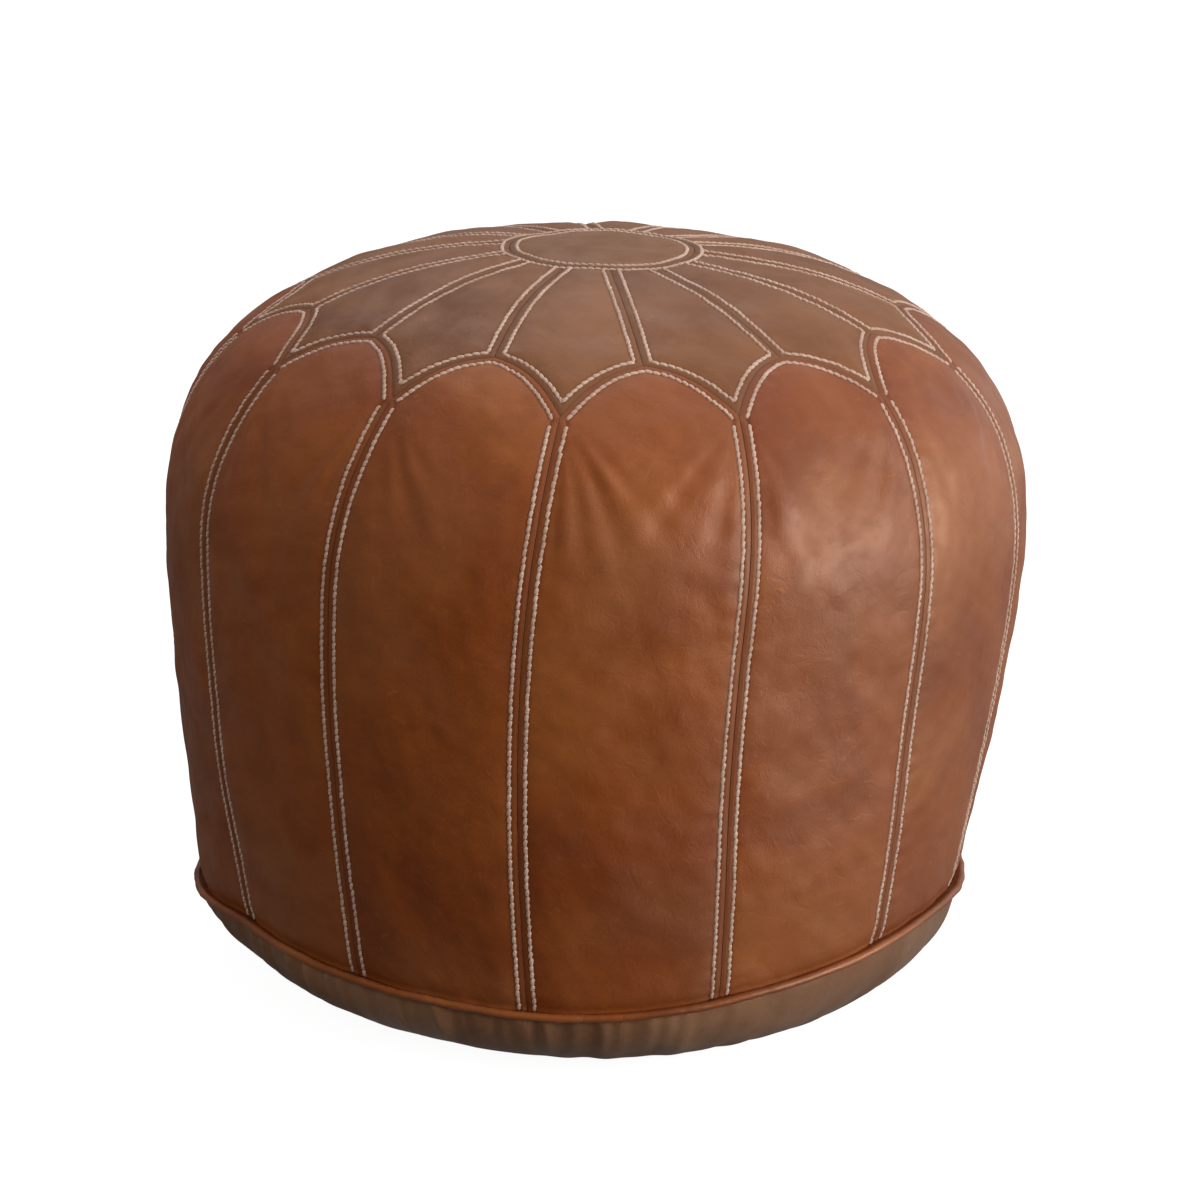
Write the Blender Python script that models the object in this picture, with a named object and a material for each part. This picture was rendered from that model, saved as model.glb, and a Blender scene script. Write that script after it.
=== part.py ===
"""Moroccan leather pouf: a stuffed round ottoman, sewn from a medallion, petals and side panels.

Metres, +Z up. The origin is the centre of the underside, where the pouf rests on the floor.
Angles round the pouf are measured from the front (-Y) towards the right (+X).
A "distance" is measured over the leather, from the crown down the side and in under the base.
"""

from bisect import bisect_left
from math import cos, exp, floor, hypot, pi, radians, sin

import bmesh
import bpy
from mathutils import Vector
from mathutils.geometry import interpolate_bezier

MM = 0.001

# Outer shape of the stuffed cover
RADIUS = 0.240
HEIGHT = 0.414
WIDEST_Z = 0.267
CROWN_REACH = 0.185
SHOULDER_REACH = 0.082
FLANK_REACH = 0.094
HEM_RADIUS = 0.221
HEM_Z = 0.060
HEM_RISE = 0.023
REST_RADIUS = 0.144
BASE_TUCK = 0.040
BASE_FLAT_REACH = 0.022

# How the stuffing has pulled the hem out of true: (height, radius) every 30 degrees from the front
SETTLED_HEM = (
    (0.053, 0.228),
    (0.067, 0.229),
    (0.073, 0.222),
    (0.061, 0.212),
    (0.058, 0.212),
    (0.060, 0.217),
    (0.060, 0.221),
    (0.056, 0.224),
    (0.046, 0.226),
    (0.040, 0.224),
    (0.054, 0.220),
    (0.054, 0.222),
)
SETTLED_ABOVE = 0.110
SETTLED_BELOW = 0.055
SETTLED_INNER = 0.148
SETTLED_OUTER = 0.168

# Leather pattern
PANELS = 14
HALF_PANEL = pi / PANELS
SEAM_TURN = radians(-5.3)
SEAM_LEAN = radians(-2.3)
SEAM_TWIST = radians(-2.6)
SEAM_BOW = radians(-2.2)
CROWN_TWIST = radians(-4.2)
FRONT_SPREAD = 0.043
MEDALLION_EDGE = 0.051
ARCH_TOP = 0.168
ARCH_FOOT = 0.205
ARCH_SHARPNESS = 0.30
ARCH_POWER = 2.8
ARCH_STEPS = (0.30, 0.60, 0.85, 1.0)
STITCH_INSET = 4.1 * MM
LEATHER = 2 * MM
SEAM_GAP = 0.4 * MM

# Topstitch thread
THREAD_RADIUS = 0.7 * MM
THREAD_CLEARANCE = 0.35 * MM
THREAD_HEIGHT = THREAD_RADIUS + THREAD_CLEARANCE
PETAL_RING = MEDALLION_EDGE + STITCH_INSET

# Piping round the hem
PIPING_RADIUS = 2.1 * MM
PIPING_OFFSET = 1.5 * MM
CORD_RADIUS = 1.0 * MM
PIPING_WALL = 0.8 * MM
PIPING_FLANGE = 6 * MM
FLANGE_SLIT = 0.3 * MM
FLANGE_HALF = 0.9 * MM

# What fills the cover
LINER_OFFSET = -6.2 * MM
LINER_THICKNESS = 1.5 * MM
STUFFING_OFFSET = -10.7 * MM

# Zip under the base, along X, in the channel that its seam draws up
ZIP_SLOT_HALF = 8 * MM
ZIP_SLOT_END = 0.152
CHANNEL_HALF = 20 * MM
CHANNEL_RISE = 7 * MM
LINER_CHANNEL_RISE = 12.6 * MM
TAPE_LENGTH = 0.296
TAPE_THICKNESS = 0.6 * MM
TAPE_EDGE = 1.8 * MM
TAPE_BEND = 8.2 * MM
TAPE_WIDTH_END = 16 * MM
TAPE_Z = 9.8 * MM
COIL_LENGTH = 0.280
COIL_RADIUS = 1.3 * MM
COIL_Y = 2.2 * MM
COIL_Z = 8.2 * MM
STOP_LENGTH = 3 * MM

SLIDER_X = 0.128
SLIDER_LENGTH = 12 * MM
SLIDER_HALF_WIDTH = 4.8 * MM
PLATE = 0.9 * MM
LOWER_PLATE_Z = 5.2 * MM
UPPER_PLATE_Z = 11.0 * MM
FLANGE_TOP_Z = 8.9 * MM
FLANGE_WALL = 0.8 * MM
POST_HALF_WIDTH = 0.6 * MM
POST_LENGTH = 3 * MM
PIN_Z = 2.8 * MM
PIN_RADIUS = 0.6 * MM
LUG_INNER = 1.9 * MM
LUG_OUTER = 2.9 * MM
LUG_HALF_LENGTH = 1.0 * MM
EYE_RADIUS = 1.6 * MM
EYE_BORE = 0.9 * MM
EYE_HALF_WIDTH = 1.5 * MM
TAB_LENGTH = 26 * MM
TAB_HALF_WIDTH = 4 * MM
TAB_HALF_THICKNESS = 0.7 * MM
TAB_NECK_LENGTH = 6 * MM

PROFILE_SAMPLES = 80
COLUMNS = 4 * PANELS


def clear_scene():
    for obj in list(bpy.data.objects):
        bpy.data.objects.remove(obj)


def material(name, color, roughness, metallic=0.0):
    made = bpy.data.materials.new(name)
    made.use_nodes = True
    shader = made.node_tree.nodes["Principled BSDF"]
    shader.inputs["Base Color"].default_value = (*color, 1.0)
    shader.inputs["Roughness"].default_value = roughness
    shader.inputs["Metallic"].default_value = metallic
    return made


def add_object(name, data, look):
    obj = bpy.data.objects.new(name, data)
    data.materials.append(look)
    bpy.context.scene.collection.objects.link(obj)
    return obj


def mesh_object(name, bm, look, smooth_angle=None):
    """Turns bm into an object, with every face pointing out."""
    bmesh.ops.recalc_face_normals(bm, faces=bm.faces)
    mesh = bpy.data.meshes.new(name)
    bm.to_mesh(mesh)
    bm.free()
    if smooth_angle is not None:
        mesh.shade_smooth()
        mesh.set_sharp_from_angle(angle=smooth_angle)
    return add_object(name, mesh, look)


def make_cutter(obj):
    obj.hide_render = True
    obj.display_type = "WIRE"
    return obj


def boolean(obj, other, operation):
    modifier = obj.modifiers.new(operation.lower(), "BOOLEAN")
    modifier.operation = operation
    modifier.object = make_cutter(other)


# The profile: three Bezier spans, crown to widest, widest to hem, hem to the resting face


def profile_points():
    spans = (
        ((0, HEIGHT), (CROWN_REACH, HEIGHT), (RADIUS, WIDEST_Z + SHOULDER_REACH), (RADIUS, WIDEST_Z)),
        (
            (RADIUS, WIDEST_Z),
            (RADIUS, WIDEST_Z - FLANK_REACH),
            (HEM_RADIUS, HEM_Z + HEM_RISE),
            (HEM_RADIUS, HEM_Z),
        ),
        (
            (HEM_RADIUS, HEM_Z),
            (HEM_RADIUS, HEM_Z - BASE_TUCK),
            (REST_RADIUS + BASE_FLAT_REACH, 0),
            (REST_RADIUS, 0),
        ),
    )
    points = [Vector((0, 0, HEIGHT))]
    for span in spans:
        knots = [Vector((radius, 0, z)) for radius, z in span]
        points += interpolate_bezier(*knots, PROFILE_SAMPLES)[1:]
    return points + [Vector((0, 0, 0))]


PROFILE = profile_points()
DISTANCES = [0.0]
for before, after in zip(PROFILE, PROFILE[1:]):
    DISTANCES.append(DISTANCES[-1] + (after - before).length)
HEM_DISTANCE = DISTANCES[2 * (PROFILE_SAMPLES - 1)]
REST_DISTANCE = DISTANCES[3 * (PROFILE_SAMPLES - 1)]
BASE_CENTRE_DISTANCE = DISTANCES[-1]


def along_profile(distance):
    """(radius, z) at a distance over the leather, and the outward normal there as (radial, z)."""
    index = min(max(bisect_left(DISTANCES, distance), 1), len(PROFILE) - 1)
    start, end = PROFILE[index - 1], PROFILE[index]
    length = DISTANCES[index] - DISTANCES[index - 1]
    point = start.lerp(end, (distance - DISTANCES[index - 1]) / length)
    return point.x, point.z, (start.z - end.z) / length, (end.x - start.x) / length


def clamped(value):
    return min(max(value, 0.0), 1.0)


def settled_hem(angle):
    """(height, radius) of the hem at an angle: a smooth closed curve through SETTLED_HEM."""
    count = len(SETTLED_HEM)
    place = angle / (2 * pi) * count
    first = floor(place)
    share = place - first
    near = [SETTLED_HEM[(first + step) % count] for step in (-1, 0, 1, 2)]
    return [
        b + share * (c - a + share * (2 * a - 5 * b + 4 * c - d + share * (3 * b - a - 3 * c + d))) / 2
        for a, b, c, d in zip(*near)
    ]


def settled_point(angle, radius, z):
    """A point of the even round shape, moved to where the stuffed cover has settled."""
    height, reach = settled_hem(angle)
    share = clamped(z / SETTLED_BELOW) * clamped((radius - SETTLED_INNER) / (SETTLED_OUTER - SETTLED_INNER))
    share *= exp(-(((z - HEM_Z) / SETTLED_ABOVE) ** 2))
    radius += (reach - HEM_RADIUS) * share
    return Vector((radius * sin(angle), -radius * cos(angle), z + (height - HEM_Z) * share))


def surface_point(angle, distance, offset=0.0):
    """A point on the cover, moved out along the surface by offset."""
    radius, z, normal_radial, normal_z = along_profile(distance)
    return settled_point(angle, radius + offset * normal_radial, z + offset * normal_z)


def sewn_angle(angle, distance):
    """Where an even angle falls on the sewn cover, whose seams spread at the front, lean and bow."""
    front = ((1 + cos(angle)) / 2) ** 4
    up = clamped(1 - distance / ARCH_TOP)
    down = clamped((distance - ARCH_FOOT) / (HEM_DISTANCE - ARCH_FOOT))
    lean = down * (SEAM_LEAN + SEAM_TWIST * sin(angle)) + SEAM_BOW * front * sin(pi * down)
    return angle + FRONT_SPREAD * sin(angle) + CROWN_TWIST * up + lean


def ring_angles(distance):
    """The angles of the corners that every ring has at a distance."""
    return [sewn_angle(SEAM_TURN + 2 * pi * column / COLUMNS, distance) for column in range(COLUMNS)]


def pattern_point(centre, flat, offset=0.0):
    """A point of a leather piece: flat is (how far across from its centre line, distance)."""
    across, distance = flat
    angle = centre + across / along_profile(distance)[0]
    return surface_point(sewn_angle(angle, distance), distance, offset)


# Shells: a sheet of pattern points, given a thickness


def shell(name, points, faces, place, offsets, look):
    """One closed sheet of material between two offsets. place(point, offset) gives each vertex."""
    bm = bmesh.new()
    outer, inner = ([bm.verts.new(place(point, offset)) for point in points] for offset in offsets)
    uses = {}
    for face in faces:
        bm.faces.new([outer[i] for i in face])
        bm.faces.new([inner[i] for i in reversed(face)])
        for start, end in zip(face, face[1:] + face[:1]):
            uses.setdefault(frozenset((start, end)), []).append((start, end))
    for (start, end), *shared in uses.values():
        if not shared:
            bm.faces.new((outer[end], outer[start], inner[start], inner[end]))
    return mesh_object(name, bm, look, radians(40))


def unit_normal(start, end):
    """The normal of one outline edge that points towards the piece's centre line or inside."""
    along = (end[0] - start[0], end[1] - start[1])
    length = hypot(*along)
    turn = 1 if along[1] > 0 else -1
    return -turn * along[1] / length, turn * along[0] / length


def inset_outline(outline):
    """The stitching line: the outline moved in by STITCH_INSET, with mitred corners."""
    normals = [unit_normal(start, end) for start, end in zip(outline, outline[1:])]
    first_normal = normals[0]
    tip_shift = STITCH_INSET / first_normal[1]
    inset = [(0.0, outline[0][1] + tip_shift)]
    for point, before, after in zip(outline[1:], normals, normals[1:]):
        mitre = (before[0] + after[0], before[1] + after[1])
        reach = STITCH_INSET / (mitre[0] * after[0] + mitre[1] * after[1])
        inset.append((point[0] + reach * mitre[0], point[1] + reach * mitre[1]))
    last = outline[-1]
    inset.append((last[0] - STITCH_INSET, last[1]))
    return inset


def panel_pattern(outline):
    """Points and faces of a piece that is the same on both sides of its centre line.

    outline runs down one side, from its tip on the centre line to the far corner.
    Each row runs from the outline to the stitching line, and on to the same on the other side.
    """
    inset = inset_outline(outline)
    points = [outline[0], inset[0]]
    faces = []
    above = (0, 1, 1, 1, 1, 1, 0)
    for (edge, edge_distance), (stitch, stitch_distance) in zip(outline[1:], inset[1:]):
        first = len(points)
        points.append((-edge, edge_distance))
        points += [(stitch * share, stitch_distance) for share in (-1, -0.5, 0, 0.5, 1)]
        points.append((edge, edge_distance))
        row = tuple(range(first, len(points)))
        for column in range(len(row) - 1):
            corners = (above[column], row[column], row[column + 1], above[column + 1])
            faces.append(list(dict.fromkeys(corners)))
        above = row
    return points, faces, inset


def arch(share):
    """How far down the arch its edge is, 0 at the point to 1 at the foot, at a share of its half width."""
    return ARCH_SHARPNESS * share + (1 - ARCH_SHARPNESS) * share**ARCH_POWER


def seam_across(distance):
    """Half the width that each petal or side panel has at a distance, up to its seam."""
    return HALF_PANEL * along_profile(distance)[0] - SEAM_GAP / 2


def side_panel_outline():
    outline = [(0.0, ARCH_TOP + SEAM_GAP)]
    for share in ARCH_STEPS:
        distance = ARCH_TOP + (ARCH_FOOT - ARCH_TOP) * arch(share)
        outline.append((share * seam_across(distance), distance + SEAM_GAP))
    rows = 6
    last = HEM_DISTANCE - PIPING_RADIUS - SEAM_GAP
    for row in range(1, rows + 1):
        distance = ARCH_FOOT + (last - ARCH_FOOT) * row / rows
        outline.append((seam_across(distance), distance))
    return outline


def petal_outline():
    """From the lower tip, up the neighbouring arch to the top of the petal's side, then in to the medallion."""
    tip_trim = 3 * SEAM_GAP
    outline = [(0.0, ARCH_FOOT - tip_trim)]
    for share in reversed(ARCH_STEPS[:-1]):
        distance = ARCH_TOP + (ARCH_FOOT - ARCH_TOP) * arch(share)
        outline.append(((1 - share) * seam_across(distance), distance - SEAM_GAP))
    rows = 4
    first = MEDALLION_EDGE + SEAM_GAP
    for row in range(rows + 1):
        distance = ARCH_TOP - SEAM_GAP + (first - ARCH_TOP + SEAM_GAP) * row / rows
        outline.append((seam_across(distance), distance))
    return outline


def medallion_pattern(distances):
    """A disc of rings round the crown, as (angle, distance) points."""
    points = [(0.0, 0.0)]
    faces = []
    for ring, distance in enumerate(distances):
        points += [(angle, distance) for angle in ring_angles(distance)]
        first = 1 + ring * COLUMNS
        for column in range(COLUMNS):
            here, after = first + column, first + (column + 1) % COLUMNS
            if ring == 0:
                faces.append([0, here, after])
            else:
                faces.append([here - COLUMNS, here, after, after - COLUMNS])
    return points, faces


def leather_pieces(look_petal, look_side, look_medallion):
    on_cover = (0.0, -LEATHER)
    points, faces = medallion_pattern((MEDALLION_EDGE - STITCH_INSET, MEDALLION_EDGE - SEAM_GAP))
    shell("medallion", points, faces, lambda point, offset: surface_point(*point, offset), on_cover, look_medallion)
    kinds = (
        ("petal", petal_outline(), 0.0, look_petal),
        ("side_panel", side_panel_outline(), HALF_PANEL, look_side),
    )
    for kind, outline, turn, look in kinds:
        points, faces, _ = panel_pattern(outline)
        for number in range(PANELS):
            centre = SEAM_TURN + turn + 2 * HALF_PANEL * number

            def place(point, offset, centre=centre):
                return pattern_point(centre, point, offset)

            shell(f"{kind}_{number + 1:02d}", points, faces, place, on_cover, look)


# Thread: round tubes that lie on the stitching lines


def thread_object(name, paths, cyclic, look):
    curve = bpy.data.curves.new(name, "CURVE")
    curve.dimensions = "3D"
    curve.bevel_depth = THREAD_RADIUS
    curve.bevel_resolution = 0
    curve.use_fill_caps = True
    for path in paths:
        spline = curve.splines.new("POLY")
        spline.points.add(len(path) - 1)
        for point, place in zip(spline.points, path):
            point.co = (*place, 1.0)
        spline.use_cyclic_u = cyclic
    return add_object(name, curve, look)


def as_mesh_object(curve_object):
    """The same thread as a mesh, which a Boolean can use."""
    name = curve_object.name
    look = curve_object.data.materials[0]
    mesh = bpy.data.meshes.new_from_object(curve_object)
    mesh.materials.clear()
    bpy.data.objects.remove(curve_object)
    return add_object(name, mesh, look)


def thread_ring(distance):
    return [surface_point(angle, distance, THREAD_HEIGHT) for angle in ring_angles(distance)]


def thread_paths(outline, turn, end_trim):
    """One path for each petal or side panel, along its stitching line from one far corner to the other."""
    inset = inset_outline(outline)
    line = [(-across, distance) for across, distance in reversed(inset[1:])] + inset
    paths = []
    for number in range(PANELS):
        centre = SEAM_TURN + turn + 2 * HALF_PANEL * number
        path = [pattern_point(centre, point, THREAD_HEIGHT) for point in line]
        start = path[0] + (path[1] - path[0]).normalized() * end_trim
        end = path[-1] + (path[-2] - path[-1]).normalized() * end_trim
        paths.append([start, *path[1:-1], end])
    return paths


def topstitching(look):
    """One line on the medallion, one on the petals that branches off a ring, and one on each side panel."""
    thread_object("medallion_thread", [thread_ring(MEDALLION_EDGE - STITCH_INSET)], True, look)
    ring = as_mesh_object(thread_object("petal_thread", [thread_ring(PETAL_RING)], True, look))
    ring_trim = PETAL_RING - MEDALLION_EDGE - SEAM_GAP - THREAD_RADIUS / 2
    branches = thread_object("petal_branches", thread_paths(petal_outline(), 0.0, ring_trim), False, look)
    boolean(ring, as_mesh_object(branches), "UNION")
    for number, path in enumerate(thread_paths(side_panel_outline(), HALF_PANEL, 2 * MM)):
        thread_object(f"side_panel_thread_{number + 1:02d}", [path], False, look)


# Turned pieces


def turned(name, section, closed_section, look):
    """Turns a section of (radius, z) points round the pouf. An open section starts and ends on the axis."""
    bm = bmesh.new()
    rings = []
    turns = ring_angles(HEM_DISTANCE)
    for radius, z in section:
        if radius < MM and not closed_section:
            rings.append([bm.verts.new((0, 0, z))] * COLUMNS)
            continue
        rings.append([bm.verts.new(settled_point(turn, radius, z)) for turn in turns])
    if closed_section:
        rings.append(rings[0])
    for upper, lower in zip(rings, rings[1:]):
        for column in range(COLUMNS):
            after = (column + 1) % COLUMNS
            corners = (upper[column], lower[column], lower[after], upper[after])
            bm.faces.new(list(dict.fromkeys(corners)))
    return mesh_object(name, bm, look, radians(40))


def arc(centre_radius, centre_z, radius, start, end, steps):
    """Points on an arc of a turned section."""
    angles = (start + (end - start) * step / steps for step in range(steps + 1))
    return [(centre_radius + radius * cos(angle), centre_z + radius * sin(angle)) for angle in angles]


def piping(look_cover, look_cord):
    """A leather strip folded round a cord, its two layers running in between the side panels and the base."""
    centre = HEM_RADIUS + PIPING_OFFSET
    bore = PIPING_RADIUS - PIPING_WALL
    inner_end = centre - PIPING_FLANGE
    outside = arc(centre, HEM_Z, PIPING_RADIUS, radians(-150), radians(150), 6)
    inside = arc(centre, HEM_Z, bore, radians(165), radians(-165), 6)
    section = [(inner_end, HEM_Z - FLANGE_HALF), (centre - PIPING_RADIUS, HEM_Z - FLANGE_HALF)]
    section += outside[1:-1]
    section += [(centre - PIPING_RADIUS, HEM_Z + FLANGE_HALF), (inner_end, HEM_Z + FLANGE_HALF)]
    section += [(inner_end, HEM_Z + FLANGE_SLIT / 2), (inside[0][0], HEM_Z + FLANGE_SLIT / 2)]
    section += inside[1:-1]
    section += [(inside[-1][0], HEM_Z - FLANGE_SLIT / 2), (inner_end, HEM_Z - FLANGE_SLIT / 2)]
    turned("piping_cover", section, True, look_cover)
    turned("piping_cord", arc(centre, HEM_Z, CORD_RADIUS, 0, 2 * pi, 6)[:-1], True, look_cord)


def offset_section(offset):
    """The cover's profile moved in by offset, crown to the centre of the base."""
    shoulder_rows = 8
    base_rows = 5
    distances = [HEM_DISTANCE * row / shoulder_rows for row in range(shoulder_rows + 1)]
    base_length = REST_DISTANCE - HEM_DISTANCE
    distances += [HEM_DISTANCE + base_length * row / base_rows for row in range(1, base_rows + 1)]
    section = []
    for distance in distances:
        radius, z, normal_radial, normal_z = along_profile(distance)
        section.append((radius + offset * normal_radial, z + offset * normal_z))
    section[0] = (0.0, HEIGHT + offset)
    return section + [(0.0, -offset)]


def channel_cutter(name, offset, look):
    """A long bar that cuts the room over the zip out of what fills the cover."""
    foot = -LINER_OFFSET + offset
    top = LINER_CHANNEL_RISE + offset
    half_top = ZIP_SLOT_HALF + offset
    half_foot = half_top + CHANNEL_HALF - ZIP_SLOT_HALF
    below = 5 * MM
    slope = (half_foot - half_top) / (top - foot)
    half_bottom = half_foot + slope * below
    section = [
        (-half_bottom, foot - below),
        (half_bottom, foot - below),
        (half_top, top),
        (-half_top, top),
    ]
    return extruded_along_x(name, section, -RADIUS, RADIUS, look)


def extruded_along_x(name, section, start, end, look):
    """A bar with a section of (y, z) points."""
    bm = bmesh.new()
    face = bm.faces.new([bm.verts.new((start, y, z)) for y, z in section])
    swept = bmesh.ops.extrude_face_region(bm, geom=[face])["geom"]
    moved = [item for item in swept if isinstance(item, bmesh.types.BMVert)]
    bmesh.ops.translate(bm, verts=moved, vec=(end - start, 0, 0))
    return mesh_object(name, bm, look)


def box(name, low, high, look):
    section = [(low[1], low[2]), (high[1], low[2]), (high[1], high[2]), (low[1], high[2])]
    return extruded_along_x(name, section, low[0], high[0], look)


def filling(look_liner, look_stuffing):
    inner_offset = LINER_OFFSET - LINER_THICKNESS
    liner = turned("inner_liner", offset_section(LINER_OFFSET), False, look_liner)
    hollow = turned("liner_hollow", offset_section(inner_offset), False, look_liner)
    boolean(liner, channel_cutter("liner_channel", 0.0, look_liner), "DIFFERENCE")
    boolean(hollow, channel_cutter("hollow_channel", LINER_THICKNESS, look_liner), "DIFFERENCE")
    boolean(liner, hollow, "DIFFERENCE")
    slot_half = 5 * MM
    slot_end = COIL_LENGTH / 2
    low = (-slot_end, -slot_half, LINER_CHANNEL_RISE - LINER_THICKNESS)
    high = (slot_end, slot_half, LINER_CHANNEL_RISE + 2 * LINER_THICKNESS)
    boolean(liner, box("liner_slot", low, high, look_liner), "DIFFERENCE")

    stuffing = turned("stuffing", offset_section(STUFFING_OFFSET), False, look_stuffing)
    room = LINER_OFFSET - STUFFING_OFFSET
    boolean(stuffing, channel_cutter("stuffing_channel", room, look_stuffing), "DIFFERENCE")


# The base: two halves of a shallow bowl, drawn up along the zip


def channel_height(y):
    share = (CHANNEL_HALF - abs(y)) / (CHANNEL_HALF - ZIP_SLOT_HALF)
    return CHANNEL_RISE * min(max(share, 0.0), 1.0)


def base_half(name, side, look):
    """side is -1 for the front half and 1 for the back half."""
    bm = bmesh.new()
    rim = HEM_DISTANCE + PIPING_RADIUS + SEAM_GAP
    base_rows = 5
    distances = [rim + (REST_DISTANCE - rim) * row / base_rows for row in range(base_rows + 1)]
    distances.append((REST_DISTANCE + BASE_CENTRE_DISTANCE) / 2)
    rings = []
    for distance in distances:
        rings.append([bm.verts.new(surface_point(turn, distance)) for turn in ring_angles(distance)])
    rings.append([bm.verts.new((0, 0, 0))] * COLUMNS)
    for upper, lower in zip(rings, rings[1:]):
        for column in range(COLUMNS):
            after = (column + 1) % COLUMNS
            corners = (upper[column], lower[column], lower[after], upper[after])
            bm.faces.new(list(dict.fromkeys(corners)))
    for y, remove_inner in ((SEAM_GAP / 2, True), (ZIP_SLOT_HALF, False), (CHANNEL_HALF, False)):
        everything = bm.verts[:] + bm.edges[:] + bm.faces[:]
        bmesh.ops.bisect_plane(
            bm,
            geom=everything,
            plane_co=(0, side * y, 0),
            plane_no=(0, side, 0),
            clear_inner=remove_inner,
        )
    for vert in bm.verts:
        vert.co.z = max(vert.co.z, channel_height(vert.co.y))
    half = mesh_object(name, bm, look)
    if half.data.polygons[0].normal.z > 0:
        half.data.flip_normals()
    thickness = half.modifiers.new("thickness", "SOLIDIFY")
    thickness.thickness = LEATHER
    thickness.offset = -1
    thickness.use_even_offset = True
    low = (-ZIP_SLOT_END, -ZIP_SLOT_HALF, -CHANNEL_RISE)
    high = (ZIP_SLOT_END, ZIP_SLOT_HALF, 3 * CHANNEL_RISE)
    boolean(half, box(name + "_slot", low, high, look), "DIFFERENCE")


def zip_tape(name, side, look):
    """A woven strip: flat beside the coil, then following the leather down the channel's slope."""
    slope = CHANNEL_RISE / (CHANNEL_HALF - ZIP_SLOT_HALF)
    drop = slope * (TAPE_WIDTH_END - TAPE_BEND)
    lower = [(TAPE_EDGE, TAPE_Z), (TAPE_BEND, TAPE_Z), (TAPE_WIDTH_END, TAPE_Z - drop)]
    upper = [(y, z + TAPE_THICKNESS) for y, z in reversed(lower)]
    section = [(side * y, z) for y, z in lower + upper]
    extruded_along_x(name, section, -TAPE_LENGTH / 2, TAPE_LENGTH / 2, look)


def zip_coil(name, side, look):
    sides = 8
    angles = (2 * pi * (corner + 0.5) / sides for corner in range(sides))
    section = [(side * COIL_Y + COIL_RADIUS * cos(angle), COIL_Z + COIL_RADIUS * sin(angle)) for angle in angles]
    extruded_along_x(name, section, -COIL_LENGTH / 2, COIL_LENGTH / 2, look)


def zip_stops(look):
    low_z = COIL_Z - COIL_RADIUS
    high_z = COIL_Z + COIL_RADIUS
    half_width = COIL_Y + COIL_RADIUS
    start = COIL_LENGTH / 2 + SEAM_GAP
    box("zip_bottom_stop", (-start - STOP_LENGTH, -half_width, low_z), (-start, half_width, high_z), look)
    inner = COIL_Y - COIL_RADIUS
    for side, place in ((-1, "front"), (1, "back")):
        ys = sorted((side * inner, side * half_width))
        low = (start, ys[0], low_z)
        high = (start + STOP_LENGTH, ys[1], high_z)
        box(f"zip_top_stop_{place}", low, high, look)


def cylinder_along_y(name, radius, half_width, sides, look):
    """A short bar about Y, centred on the hinge pin's axis."""
    bm = bmesh.new()
    angles = [2 * pi * corner / sides for corner in range(sides)]
    face = bm.faces.new([bm.verts.new((radius * cos(a), -half_width, radius * sin(a))) for a in angles])
    swept = bmesh.ops.extrude_face_region(bm, geom=[face])["geom"]
    moved = [item for item in swept if isinstance(item, bmesh.types.BMVert)]
    bmesh.ops.translate(bm, verts=moved, vec=(0, 2 * half_width, 0))
    return mesh_object(name, bm, look, radians(50))


def zip_slider(look):
    """Two plates joined by a post that runs between the coils, with lugs and a pin for the pull tab."""
    half = SLIDER_LENGTH / 2
    wide = SLIDER_HALF_WIDTH
    floor_z = LOWER_PLATE_Z + PLATE
    section = [
        (-wide, LOWER_PLATE_Z),
        (wide, LOWER_PLATE_Z),
        (wide, FLANGE_TOP_Z),
        (wide - FLANGE_WALL, FLANGE_TOP_Z),
        (wide - FLANGE_WALL, floor_z),
        (FLANGE_WALL - wide, floor_z),
        (FLANGE_WALL - wide, FLANGE_TOP_Z),
        (-wide, FLANGE_TOP_Z),
    ]
    slider = extruded_along_x("zip_slider", section, -half, half, look)
    joined = 0.2 * MM
    lug_foot = LOWER_PLATE_Z + PLATE / 2
    pieces = [
        box("slider_top", (-half, -wide, UPPER_PLATE_Z), (half, wide, UPPER_PLATE_Z + PLATE), look),
        box(
            "slider_post",
            (half - POST_LENGTH, -POST_HALF_WIDTH, floor_z - joined),
            (half, POST_HALF_WIDTH, UPPER_PLATE_Z + joined),
            look,
        ),
    ]
    for side in (-1, 1):
        ys = sorted((side * LUG_INNER, side * LUG_OUTER))
        low = (-LUG_HALF_LENGTH, ys[0], PIN_Z - LUG_HALF_LENGTH)
        high = (LUG_HALF_LENGTH, ys[1], lug_foot)
        pieces.append(box(f"slider_lug_{side}", low, high, look))
    pin = cylinder_along_y("slider_pin", PIN_RADIUS, LUG_OUTER - joined, 8, look)
    pin.location = (0, 0, PIN_Z)
    pieces.append(pin)
    for piece in pieces:
        piece.parent = slider
        boolean(slider, piece, "UNION")
    slider.location = (SLIDER_X, 0, 0)
    return slider


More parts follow.
